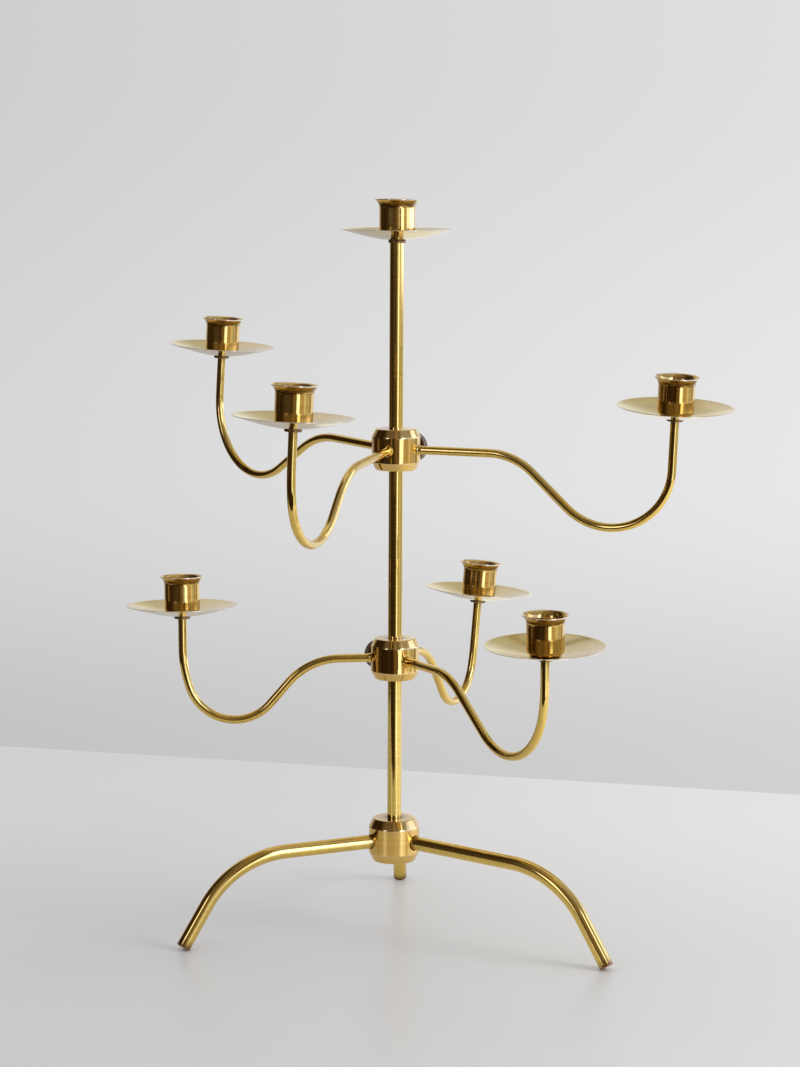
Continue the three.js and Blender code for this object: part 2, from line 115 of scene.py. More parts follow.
# A thumbscrew's shank, and the neck between its head and the hub
THUMB_SHANK = 0.0027
THUMB_NECK = 0.0045
THUMB_NECK_LENGTH = 0.0015

# Which of a surface point's values are its wear, which also paints highlights, and its tarnish, which also
# paints shade
WEAR_AND_HIGHLIGHT, DEPOSIT_AND_SHADE = 6, 7

# Faces along each side of the patch round a bore, and the widest face between patches
PATCH_SIDES = 14
WIDEST_FACE = math.radians(3.5)


def length(name, description, default):
    """A size in metres that the user can change."""
    return FloatProperty(name=name, description=description, default=default, min=0.0,
                         precision=5, subtype="DISTANCE", unit="LENGTH")


def share(name, description, default):
    return FloatProperty(name=name, description=description, default=default, min=0.0, max=1.0,
                         subtype="FACTOR")


def number(name, description, default):
    return FloatProperty(name=name, description=description, default=default)


def colour(name, description, default):
    return FloatVectorProperty(name=name, description=description, default=default, size=3,
                               min=0.0, max=1.0, subtype="COLOR")


class CandelabraSizes(bpy.types.PropertyGroup):
    """Sizes of the turned, bent and spun pieces."""

    rod_radius: length("Rod radius", "Outside radius of the centre rod", 0.005)
    rod_wall: length("Rod wall", "Wall thickness of the centre rod", 0.001)
    rod_top: length("Rod top", "Height of the rod's upper end above the table", 0.4918)
    rod_bottom: length("Rod bottom", "Height of the rod's lower end above the table", 0.0609)
    tier_hub_radius: length("Tier hub radius", "Radius of the two hubs that carry the arms", 0.017)
    tier_hub_height: length("Tier hub height", "Height of the two hubs that carry the arms", 0.029)
    tier_hub_face: length("Tier hub face", "Radius of the flat faces of a tier hub", 0.0142)
    tier_hub_chamfer: length("Tier hub chamfer", "Height of each chamfer of a tier hub", 0.0055)
    base_hub_radius: length("Base hub radius", "Radius of the hub on the legs", 0.018)
    base_hub_height: length("Base hub height", "Height of the hub on the legs", 0.031)
    base_hub_face: length("Base hub face", "Radius of the flat faces of the base hub", 0.0148)
    base_hub_chamfer: length("Base hub chamfer", "Height of each chamfer of the base hub", 0.0062)
    base_hub_floor: length("Base hub floor", "Thickness of the floor that the rod stands on", 0.004)
    hub_edge: length("Hub edge", "Rounding of the turned edges of the hubs' faces", 0.0011)
    hub_shoulder: length("Hub shoulder", "Rounding between a hub's wall and its chamfers", 0.0020)
    hub_lid: length("Hub lid", "Thickness of a tier hub's top over its sleeve", 0.0025)
    sleeve_wall: length("Sleeve wall", "Wall thickness of the split sleeve in a tier hub", 0.0012)
    arm_radius: length("Arm radius", "Radius of the bent arms", 0.003)
    arm_socket: length("Arm socket", "Depth to which an arm sits in its hub", 0.006)
    arm_dish: length("Arm dish", "Radius of the shallow dish cut round an arm's root", 0.004)
    arm_flare: length("Arm flare", "How far an arm flares out where it meets its hub", 0.0012)
    arm_flare_length: length("Arm flare length", "Length over which an arm flares out", 0.0036)
    arm_root_bend: length("Arm root bend", "Radius of the small bend outside an arm's hub", 0.025)
    arm_ease: length("Arm ease", "Radius of the wide last part of an arm's U bend", 0.090)
    leg_radius: length("Leg radius", "Outside radius of the legs", 0.005)
    leg_wall: length("Leg wall", "Wall thickness of the legs", 0.0015)
    leg_drop: length("Leg drop", "How far the legs' roots sit below the hub's middle", 0.0012)
    leg_root_bend: length("Leg root bend", "Radius of the small bend outside a leg's hub", 0.060)
    leg_bend: length("Leg bend", "Radius of the bend in a leg", 0.070)
    collar_thickness: length("Collar thickness", "Thickness of the ring under a drip pan", 0.001)
    collar_skirt: length("Collar skirt", "How far a collar reaches down round its stem", 0.0006)
    arm_collar: length("Arm collar", "Radius of the ring on an arm's end", 0.00575)
    rod_collar: length("Rod collar", "Radius of the ring on the rod's end", 0.0061)
    pan_radius: length("Pan radius", "Radius of a drip pan", 0.0397)
    pan_flat: length("Pan flat", "Radius of the flat middle of a drip pan", 0.009)
    pan_depth: length("Pan depth", "Height of a drip pan's rim above its middle", 0.0072)
    pan_thickness: length("Pan thickness", "Thickness of a drip pan in its middle", 0.0008)
    pan_rim: length("Pan rim", "Thickness of a drip pan at its rim", 0.00045)
    pan_lip: length("Pan lip", "Width of the flatter lip round a drip pan", 0.0017)
    cup_radius: length("Cup radius", "Outside radius of a candle cup's wall", 0.0125)
    cup_wall: length("Cup wall", "Wall thickness of a candle cup", 0.0009)
    cup_floor: length("Cup floor", "Thickness of a candle cup's floor", 0.0011)
    cup_height: length("Cup height", "Height of a candle cup", 0.02695)
    cup_corner: length("Cup corner", "Radius of the round corner under a candle cup", 0.004)
    cup_flare: length("Cup flare", "How far a candle cup's lip stands out", 0.0031)
    cup_flare_height: length("Cup flare height", "Height over which the lip flares", 0.0060)
    thumb_radius: length("Thumbscrew radius", "Radius of a thumbscrew's head", 0.010)
    thumb_thickness: length("Thumbscrew thickness", "Thickness of a thumbscrew's head", 0.005)
    thumb_ridges: IntProperty(name="Thumbscrew ridges", description="Ridges round the head",
                              default=46, min=8, max=120)
    thumb_ridge: length("Ridge height", "Height of the ridges round the head", 0.0005)


class CandelabraFinish(bpy.types.PropertyGroup):
    """Colours and surface effects of the metal."""

    brass: colour("Brass", "Colour of the hubs and the cups", (0.87, 0.56, 0.142))
    bar_brass: colour("Bar brass", "Colour of the rod, the arms and the legs", (0.87, 0.600, 0.142))
    pan_brass: colour("Pan brass", "Colour of the spun pans", (0.80, 0.63, 0.265))
    dark_brass: colour("Dark brass", "Colour of the collars and thumbscrews", (0.36, 0.20, 0.07))
    copper: colour("Copper", "Colour of the plugs in the feet", (0.50, 0.25, 0.10))
    steel: colour("Steel", "Colour of the screws", (0.50, 0.47, 0.40))
    # Pale colour of worn edges, which also paints highlights on the hubs' edges and the cups' lips
    worn_and_highlight: colour("Worn brass", "Colour that brass takes on its worn edges", (0.93, 0.89, 0.76))
    # Dark colour of tarnish, which also paints shade in recesses and where pieces meet
    tarnish_and_shade_colour: colour("Tarnish and shade", "Colour that brass takes in its corners", (0.10, 0.045, 0.010))
    polish: share("Polish roughness", "Roughness of the polished brass", 0.065)
    smudges: share("Smudges", "How much handling dulls the polish", 0.05)
    scratches: share("Scratches", "Strength of the fine scratches", 0.035)


class CandelabraStage(bpy.types.PropertyGroup):
    """Camera, table and light."""

    camera_distance: length("Camera distance", "From the rod's axis to the camera", 2.0)
    camera_height: length("Camera height", "Height of the camera above the table", 0.555)
    camera_pitch: number("Camera pitch", "How far it looks down, in degrees", 7.611)
    camera_yaw: number("Camera yaw", "How far it looks right, in degrees", 0.0885)
    camera_roll: number("Camera roll", "Tilt of the picture, in degrees", 0.30)
    focal_pixels: number("Focal length", "In pixels of an 800-wide picture", 2870.0)
    table: colour("Table", "Colour of the table", (0.644, 0.645, 0.655))
    # Painted reflection: how bright the table shows in the metal, apart from how it looks to the camera
    table_mirrored: share("Table in mirrors", "How bright the metal mirrors the table", 0.95)
    wall: colour("Wall", "Colour of the wall behind", (0.68, 0.68, 0.68))
    soft_light: FloatProperty(name="Soft light", description="Strength of the light from all round",
                              default=0.78, min=0.0)
    window_power: FloatProperty(name="Window power", description="Power of the light from the right",
                                default=16.0, min=0.0, subtype="POWER", unit="POWER")


# Surfaces. A surface is a grid of points with eight values each: place x, y, z, the piece's own
# place x, y, z (where it would be if the piece stood upright and straight), wear with painted highlight,
# and tarnish with painted shade.

def surface(x, y, z, own=None, wear_and_highlight=None, deposit_and_shade=None):
    """A surface from arrays of places. The values for wear with painted highlight and for tarnish with
    painted shade hold one value for each line of the grid.
    """
    grid = np.zeros(np.broadcast(x, y, z).shape + (8,))
    for column, values in enumerate((x, y, z) + (own or (x, y, z))):
        grid[..., column] = values
    for column, values in ((WEAR_AND_HIGHLIGHT, wear_and_highlight), (DEPOSIT_AND_SHADE, deposit_and_shade)):
        if values is not None:
            grid[..., column] = values[:, None]
    return grid


def wall_line(radius, heights):
    """A line of (radius, height) points at one radius."""
    return np.stack([np.full(len(heights), radius), heights], -1)


def full_turn(sides):
    """Angles all the way round, the first one again at the end."""
    return np.linspace(0.0, 2 * math.pi, sides + 1)


def faded(distance, over):
    """1 up to a distance of 0, and exp(-distance / over) beyond it."""
    return np.exp(-np.maximum(distance, 0) / over)


def rounded(corners, steps=4):
    """A line of (radius, height) points from corners of (radius, height, rounding).

    A rounding r becomes an arc that touches both edges of its corner: with half the corner's angle h, it
    starts r / tan(h) from the corner, and its centre lies r / sin(h) away along the bisector.
    """
    def unit(arrows):
        return arrows / np.maximum(np.linalg.norm(arrows, axis=-1, keepdims=True), 1e-12)

    corners = np.asarray(corners, float)
    place = corners[:, :2]
    before = unit(np.vstack([place[:1], place[:-1]]) - place)
    after = unit(np.vstack([place[1:], place[-1:]]) - place)
    half = np.arccos(np.clip((before * after).sum(1), -1.0, 1.0)) / 2
    sharp = (corners[:, 2] <= 0) | (half < 0.01)
    radius = np.where(sharp, 0.0, corners[:, 2])[:, None]
    half = np.where(sharp, 1.0, half)[:, None]
    centre = place + unit(before + after) * radius / np.sin(half)
    first = place + before * radius / np.tan(half) - centre
    last = place + after * radius / np.tan(half) - centre
    t = np.linspace(0.0, 1.0, steps + 1)[:, None]
    arc = centre[:, None] + unit(first[:, None] * (1 - t) + last[:, None] * t) * radius[:, None]
    points = arc.reshape(-1, 2)
    fresh = np.r_[True, np.linalg.norm(np.diff(points, axis=0), axis=1) > 1e-8]
    return points[fresh]


def turned(angle, profile, wear_and_highlight=None, deposit_and_shade=None, ridges=None):
    """A line of (radius, height) points turned about Z to each angle a: x = r cos a, y = r sin a.

    ridges is (count, depth for each point): the radius is less by depth * (1 - cos(count * a)) / 2.
    """
    profile = np.asarray(profile, float)
    radius = profile[:, :1]
    if ridges:
        count, depth = ridges
        radius = radius - depth[:, None] * (0.5 - 0.5 * np.cos(count * angle))
    return surface(radius * np.cos(angle), radius * np.sin(angle), profile[:, 1:], wear_and_highlight=wear_and_highlight, deposit_and_shade=deposit_and_shade)


class BentPath:
    """A path in the XZ plane of straights and arcs, each starting where the last one ends.

    After a length s on a part with curvature k, the heading is h + k s and the place is moved by
    (sin(h + k s) - sin h) / k along X and (cos h - cos(h + k s)) / k along Z, or on a straight by
    s cos h and s sin h.
    """

    def __init__(self, x, z, heading):
        self.starts = [(x, z)]
        self.headings = [heading]
        self.curvatures = []
        self.lengths = []

    @staticmethod
    def moved(x, z, heading, curvature, run):
        bent = np.abs(curvature) > 1e-9
        safe = np.where(bent, curvature, 1.0)
        after = heading + curvature * run
        step_x = np.where(bent, (np.sin(after) - np.sin(heading)) / safe, run * np.cos(heading))
        step_z = np.where(bent, (np.cos(heading) - np.cos(after)) / safe, run * np.sin(heading))
        return x + step_x, z + step_z, after

    def part(self, curvature, run):
        x, z, heading = self.moved(*self.starts[-1], self.headings[-1], curvature, run)
        self.starts.append((float(x), float(z)))
        self.headings.append(float(heading))
        self.curvatures.append(curvature)
        self.lengths.append(run)
        return self

    def straight(self, run):
        return self.part(0.0, run)

    def bend(self, radius, heading):
        turn = heading - self.headings[-1]
        if abs(turn) < 1e-6:
            return self
        return self.part(math.copysign(1 / radius, turn), radius * abs(turn))

    def reach_to(self, x, z, radius, heading, ease_radius=0.1, ease=0.0):
        """A straight, a bend and a last straight that end at a place with a heading.

        The bend's last part, ease, has its own radius. The bends alone leave (mx, mz) missing, so the
        straights a and b follow from a cos h0 + b cos h1 = mx and a sin h0 + b sin h1 = mz.
        """
        bent = BentPath(*self.starts[-1], self.headings[-1])
        bent.bend(radius, heading - ease).bend(ease_radius, heading)
        ways = np.array([self.headings[-1], heading])
        missing = np.array([x, z]) - bent.starts[-1]
        first, last = np.linalg.solve(np.stack([np.cos(ways), np.sin(ways)]), missing)
        self.straight(first).bend(radius, heading - ease).bend(ease_radius, heading)
        return self.straight(last)

    @property
    def total(self):
        return sum(self.lengths)

    def at(self, distance):
        """Places and headings at an array of distances along the path."""
        ends = np.cumsum(self.lengths)
        part = np.clip(np.searchsorted(ends, distance, side="right"), 0, len(ends) - 1)
        begun = np.r_[0.0, ends[:-1]][part]
        starts = np.array(self.starts[:-1])[part]
        return self.moved(starts[:, 0], starts[:, 1], np.array(self.headings[:-1])[part],
                          np.array(self.curvatures)[part], distance - begun)

    def stations(self, after, before):
        """Distances between two places on the path, close together on its bends and wide on its straights."""
        turn_step, straight_step = math.radians(2.5), 0.006
        steps = []
        begun = 0.0
        for curvature, run in zip(self.curvatures, self.lengths):
            each = turn_step / abs(curvature) if curvature else straight_step
            steps.append(begun + np.linspace(0, run, max(1, math.ceil(run / each)) + 1)[1:])
            begun += run
        steps = np.concatenate(steps)
        return steps[(steps > after) & (steps < before)]


def carried(path, profile, sides, deposit_and_shade):
    """A line of (radius, distance) points carried along a path, round its own axis.

    The outline's angle a gives r cos a across the path in its plane and r sin a along Y. The piece's own
    place is that of the straight rod before bending: distance along X and the outline in Y and Z.
    """
    profile = np.asarray(profile, float)
    x, z, heading = (values[:, None] for values in path.at(profile[:, 1]))
    across = profile[:, :1] * np.cos(full_turn(sides))
    level = profile[:, :1] * np.sin(full_turn(sides))
    return surface(x - across * np.sin(heading), level, z + across * np.cos(heading),
                   (profile[:, 1:], across, level), deposit_and_shade=deposit_and_shade)


def cut_end(radius, total):
    """Points of (radius, distance) over the eased edge of a bar's far end."""
    return [(radius, total - BAR_EDGE), (radius - BAR_EDGE / 3, total - BAR_EDGE / 3),
            (radius - BAR_EDGE, total)]


def bored_patch(radius, azimuth, height, half, rims):
    """A square of a drum's wall with a round bore in its middle.

    Rings go from the square inwards. On the square, a ring's point at angle p is half / max(|cos p|,
    |sin p|) away from the middle, and on the bore it is on a circle. Each rim is (bore radius, inset,
    flat): flat None keeps it inset below the drum's round wall, x = sqrt(R^2 - y^2) - inset, and a number
    puts it on the plane at that distance from the drum's axis.
    """
    turn = np.linspace(-math.pi / 4, 7 * math.pi / 4, 4 * PATCH_SIDES + 1)
    circle = np.stack([np.cos(turn), np.sin(turn)], -1)
    square = half * circle / np.abs(circle).max(1, keepdims=True)
    bore, inset, flat = np.array(rims, float).T[..., None]
    t = np.linspace(0.0, 1.0, 7)[:-1, None, None]
    across, up = np.concatenate([square * (1 - t) + bore[0] * circle * t,
                                 bore[..., None] * circle]).transpose(2, 0, 1)
    out = np.sqrt(radius ** 2 - across ** 2)
    out[-len(rims):] = np.where(np.isnan(flat), out[-len(rims):] - inset, flat)
    a = math.radians(azimuth)
    grid = surface(out * math.cos(a) - across * math.sin(a), out * math.sin(a) + across * math.cos(a),
                   height + up)
    # Painted shade: the bore's rims darken from its mouth to its depth
    grid[-len(rims):, :, DEPOSIT_AND_SHADE] = np.linspace(0.1, 1.0, len(rims))[:, None]
    return grid


def drum(radius, below, above, bores, height, half):
    """Surfaces of a turned drum with radial bores in its wall.

    below and above are the lines of (radius, height) points from the wall's patches round to each
    other's end, inside the drum. Columns stand where the patches have them: at azimuth +
    asin(half tan(b) / R), for b from -45 to 45 degrees, and evenly between the patches.
    """
    slant = half * np.tan(np.linspace(-math.pi / 4, math.pi / 4, PATCH_SIDES + 1))
    patch_columns = np.arcsin(slant / radius)
    reach = patch_columns[-1]
    middles = np.radians(np.sort([azimuth % 360 for azimuth, rims in bores]))
    gaps = []
    columns = []
    for here, following in zip(middles, np.r_[middles[1:], middles[0] + 2 * math.pi]):
        between = following - here - 2 * reach
        gap = here + reach + np.linspace(0, between, max(2, math.ceil(between / WIDEST_FACE)) + 1)
        gaps.append(gap)
        columns += [here + patch_columns, gap[1:]]
    columns = np.concatenate(columns)
    band = wall_line(radius, height + slant)
    surfaces = [turned(columns, below), turned(columns, above)]
    surfaces += [turned(gap, band) for gap in gaps]
    return surfaces + [bored_patch(radius, azimuth, height, half, rims) for azimuth, rims in bores]


def turned_hub(sizes, radius, height, face, chamfer, insides, bores, middle, half, dark_ring, dark):
    """A drum with chamfered ends, lighter on its turned edges by wear and painted highlight, and darker
    where it meets the rod by painted shade.

    insides holds the corners inside the hub, from its lower and from its upper face to where they meet.
    middle and half give the band of its wall that holds the bores. The painted shade, dark, reaches
    dark_ring out from the rod. The wear and painted highlight falls off from an edge as
    exp(-(distance / wear_and_highlight_width)^2).
    """
    most_wear_and_highlight, wear_and_highlight_width = 0.3, 0.0004
    top = height / 2
    wall = top - chamfer
    ends = [rounded([(radius, middle + way * half, 0), (radius, way * wall, sizes.hub_shoulder),
                     (face, way * top, sizes.hub_edge)] + inside) for way, inside in zip((-1, 1), insides)]
    surfaces = drum(radius, *ends, bores, middle, half)
    for grid in surfaces[:2]:
        up = np.abs(grid[..., 2])
        edge = np.where(up < wall + 0.001, wall, top)
        grid[..., WEAR_AND_HIGHLIGHT] = most_wear_and_highlight * np.exp(-((up - edge) / wear_and_highlight_width) ** 2)
        out = np.hypot(grid[..., 0], grid[..., 1])
        grid[..., DEPOSIT_AND_SHADE] = np.where(out < sizes.rod_radius + dark_ring, dark, 0.0)
    return surfaces


def slotted_screw(low, screw, columns=10):
    """A turned screw whose domed head stands at a height, low, with a straight slot along X.

    On a circle of radius r the slot's walls stand at angle asin(c / r) either side of X, so each point
    lies by its share of the slot's or the land's angle, and a slot point's height is at most the floor.
    """
    shank, head = screw["shank"], screw["head"]
    bottom, top = low - screw["length"], low + screw["height"]
    dome_height = 0.0006
    floor = top - SLOT_DEPTH
    beside_slot = SLOT_HALF + 0.0001
    profile = rounded([(0, bottom, 0), (shank, bottom, screw["tip"]), (shank, low, 0), (head, low, 0.0002),
                       (head, top - dome_height, screw["edge"]), (head - screw["dome"], top, 0.0003),
                       (beside_slot, top, 0), (beside_slot, floor, 0), (0, floor, 0)])
    radius, height = profile[:, :1], profile[:, 1:]
    wall = np.arcsin(np.clip(SLOT_HALF / np.maximum(radius, SLOT_HALF * 1.05), 0, 1))
    land = math.pi - 2 * wall
    t = np.linspace(0.0, 1.0, columns + 1)
    angle = np.concatenate([-wall + 2 * wall * t, wall + land * t, math.pi - wall + 2 * wall * t,
                            math.pi + wall + land * t, 2 * math.pi - wall], 1)
    in_slot = np.r_[np.repeat([True, False, True, False], columns + 1), True]
    grid = surface(radius * np.cos(angle), radius * np.sin(angle),
                   np.where(in_slot, np.minimum(height, floor), height))
    # Painted shade on the slot's floor, the darkest part; the rest of the screw is darkened a little
    grid[..., DEPOSIT_AND_SHADE] = np.where(in_slot & (height > floor - 1e-5), 1.0, 0.15)
    return grid


def new_object(name, data):
    """An object in the scene, at the origin."""
    made = bpy.data.objects.new(name, data)
    bpy.context.scene.collection.objects.link(made)
    return made


def values_of(collection, key, kind, each=1):
    """An array of one property of all faces or corners of a mesh, with a row for each of them."""
    values = np.empty(each * len(collection), kind)
    collection.foreach_get(key, values)
    return values.reshape(-1, each)


def make_piece(name, surfaces, place, body, replaced, material):
    """One closed mesh from surfaces whose shared edges are merged, put in place and riding on a CAD body.

    Each vertex normal is the sum of its faces' normals times their areas, so that wide faces stay flat
    up to their rounded edges.
    """
    corners = np.concatenate([grid.reshape(-1, 8) for grid in surfaces])
    matrix = np.array(place)
    faces = []
    begun = 0
    for grid in surfaces:
        rows, columns = grid.shape[:2]
        index = np.arange(rows * columns).reshape(rows, columns) + begun
        quads = np.stack([index[:-1, :-1], index[1:, :-1], index[1:, 1:], index[:-1, 1:]], -1)
        faces.append(quads.reshape(-1, 4))
        begun += rows * columns
    mesh = bpy.data.meshes.new(name)
    mesh.from_pydata(corners[:, :3] @ matrix[:3, :3].T + matrix[:3, 3], [], np.concatenate(faces))
    for key, kind, values in (("own_place", "FLOAT_VECTOR", corners[:, 3:6]),
                              ("wear_and_highlight", "FLOAT", corners[:, WEAR_AND_HIGHLIGHT]), ("deposit_and_shade", "FLOAT", corners[:, DEPOSIT_AND_SHADE])):
        layer = mesh.attributes.new(key, kind, "POINT")
        layer.data.foreach_set("vector" if kind == "FLOAT_VECTOR" else "value",
                               np.ascontiguousarray(values, np.float32).ravel())
    # Merge what the surfaces share, turn the faces outwards, and check that nothing is left open
    work = bmesh.new()
    work.from_mesh(mesh)
    bmesh.ops.remove_doubles(work, verts=work.verts, dist=2e-6)
    bmesh.ops.dissolve_degenerate(work, edges=work.edges, dist=1e-7)
    bmesh.ops.recalc_face_normals(work, faces=work.faces)
    open_edges = sum(1 for edge in work.edges if not edge.is_manifold)
    work.to_mesh(mesh)
    work.free()
    if open_edges:
        raise RuntimeError(f"{name} isn't closed: {open_edges} edges")
    mesh.shade_smooth()
    weighted = values_of(mesh.polygons, "normal", float, 3) * values_of(mesh.polygons, "area", float)
    sides = values_of(mesh.polygons, "loop_total", int)[:, 0]
    vertex = values_of(mesh.loops, "vertex_index", int)[:, 0]
    summed = np.zeros((len(mesh.vertices), 3))
    np.add.at(summed, vertex, np.repeat(weighted, sides, axis=0))
    summed /= np.maximum(np.linalg.norm(summed, axis=1, keepdims=True), 1e-20)
    mesh.normals_split_custom_set_from_vertices(summed)
    mesh.materials.append(material)
    piece = new_object(name, mesh)
    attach(piece, body)
    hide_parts(*replaced)
    return piece


# Places

def rod_place(height=0.0):
    return Matrix.Translation((ROD_X, ROD_Y, height))


def turned_to(degrees, axis="Z"):
    return Matrix.Rotation(math.radians(degrees), 4, axis)


def tier_of(arm_name):
    """Name of the tier that an arm is on: upper or lower."""
    return arm_name.split("_")[0]


def arm_place(name):
    """Where an arm's own plane stands: X outward from the rod's axis, rolled in its socket."""
    arm = ARMS[name]
    hub = rod_place(TIERS[tier_of(name)]["height"])
    return hub @ turned_to(arm["azimuth"]) @ turned_to(arm["roll"], "X")


# Shader nodes

def node(tree, kind, values=None, **settings):
    """A node with its settings, and with values or other nodes' sockets on its inputs."""
    made = tree.nodes.new(kind)
    for key, value in settings.items():
        setattr(made, key, value)
    for key, value in (values or {}).items():
        if isinstance(value, bpy.types.NodeSocket):
            tree.links.new(value, made.inputs[key])
        else:
            made.inputs[key].default_value = value
    return made


def maths(tree, operation, *values, clamp=False):
    made = node(tree, "ShaderNodeMath", dict(enumerate(values)), operation=operation, use_clamp=clamp)
    return made.outputs[0]


def eased(tree, value, low, high, out_low=0.0, out_high=1.0):
    """A smooth step from out_low at low to out_high at high."""
    made = node(tree, "ShaderNodeMapRange",
                {"Value": value, "From Min": low, "From Max": high, "To Min": out_low, "To Max": out_high},
                interpolation_type="SMOOTHSTEP")
    return made.outputs["Result"]


def noise(tree, place, scale, detail=3.0, roughness=0.55):
    made = node(tree, "ShaderNodeTexNoise",
                {"Vector": place, "Scale": scale, "Detail": detail, "Roughness": roughness})
    return made.outputs["Fac"]


def stretched(tree, place, scale, turn):
    made = node(tree, "ShaderNodeMapping", {"Vector": place, "Rotation": turn, "Scale": scale})
    return made.outputs["Vector"]


def mixed(tree, amount, first, second):
    made = node(tree, "ShaderNodeMix", {0: amount, 6: first, 7: second}, data_type="RGBA")
    return made.outputs[2]


def opaque(colour_rgb, times=1.0):
    """A colour times a factor, no brighter than white, with full alpha."""
    return tuple(min(1.0, c * times) for c in colour_rgb) + (1.0,)


def empty_tree(owner):
    """The node tree of a new material or world, with its nodes removed."""
    owner.use_nodes = True
    owner.node_tree.nodes.clear()
    return owner.node_tree


def group(name, inputs, outputs):
    """A new node group. inputs holds (name, socket kind, default), and outputs the names of values."""
    tree = bpy.data.node_groups.new(name, "ShaderNodeTree")
    for label, kind, default in inputs:
        socket = tree.interface.new_socket(label, in_out="INPUT", socket_type=kind)
        if default is not None:
            socket.default_value = default
    for label in outputs:
        tree.interface.new_socket(label, in_out="OUTPUT", socket_type="NodeSocketFloat")
    return tree, tree.nodes.new("NodeGroupInput").outputs, tree.nodes.new("NodeGroupOutput").inputs


def handling_group():
    """Smudges left by hands, and fine wiping scratches in two directions."""
    tree, given, made = group(
        "Handling marks",
        [("Place", "NodeSocketVector", None), ("Smudge Size", "NodeSocketFloat", 45.0),
         ("Scratch Size", "NodeSocketFloat", 900.0)],
        ["Smudge", "Scratch"])
    place = given["Place"]
    broad = eased(tree, noise(tree, place, given["Smudge Size"], 4.0), 0.44, 0.70)
    fine = eased(tree, noise(tree, place, maths(tree, "MULTIPLY", given["Smudge Size"], 9.0)), 0.40, 0.75)
    tree.links.new(maths(tree, "ADD", maths(tree, "MULTIPLY", broad, 0.7),
                         maths(tree, "MULTIPLY", fine, 0.3)), made["Smudge"])
    across = stretched(tree, place, (1.0, 0.07, 0.35), (0.3, 0.2, 0.5))
    along = stretched(tree, place, (0.08, 1.0, 0.8), (0.9, 0.1, -0.4))
    scratch = [noise(tree, way, given["Scratch Size"], 2.0, 0.4) for way in (across, along)]
    tree.links.new(maths(tree, "ADD", *scratch), made["Scratch"])
    return tree


def tarnish_and_shade_group():
    """Dark deposit with painted shade in corners and recesses, and a few specks on the open surface."""
    tree, given, made = group(
        "Tarnish and shade",
        [("Place", "NodeSocketVector", None), ("Deposit and Shade", "NodeSocketFloat", 0.0),
         ("Specks", "NodeSocketFloat", 0.3)],
        ["Mask"])
    cloud = noise(tree, given["Place"], 260.0, 5.0, 0.6)
    corner = maths(tree, "MULTIPLY", given["Deposit and Shade"], eased(tree, cloud, 0.25, 0.75, 0.55, 1.0))
    spot = eased(tree, noise(tree, given["Place"], 620.0, 2.0), 0.62, 0.72)
    rare = eased(tree, noise(tree, given["Place"], 90.0, 2.0), 0.50, 0.62)
    specks = maths(tree, "MULTIPLY", maths(tree, "MULTIPLY", spot, rare), given["Specks"])
    tree.links.new(maths(tree, "ADD", corner, specks, clamp=True), made["Mask"])
    return tree


def lathe_group():
    """Fine rings left by the lathe, as a height, and their slow change in brightness, as a tone."""
    tree, given, made = group(
        "Lathe rings",
        [("Place", "NodeSocketVector", None), ("Rings per Metre", "NodeSocketFloat", 3000.0)],
        ["Height", "Tone"])
    parts = node(tree, "ShaderNodeSeparateXYZ", {"Vector": given["Place"]}).outputs
    flat = node(tree, "ShaderNodeCombineXYZ", {"X": parts["X"], "Y": parts["Y"]}).outputs[0]
    radius = node(tree, "ShaderNodeVectorMath", {0: flat}, operation="LENGTH").outputs["Value"]
    ring = node(tree, "ShaderNodeCombineXYZ", {"X": radius, "Y": parts["Z"]}).outputs[0]
    tree.links.new(noise(tree, ring, given["Rings per Metre"], 2.0), made["Height"])
    tree.links.new(noise(tree, ring, maths(tree, "MULTIPLY", given["Rings per Metre"], 0.12), 3.0),
                   made["Tone"])
    return tree


def use_group(tree, name, make, values):
    """Outputs of a node group placed in a tree. The group is made the first time that it is used."""
    made = bpy.data.node_groups.get(name) or make()
    return node(tree, "ShaderNodeGroup", values, node_tree=made).outputs


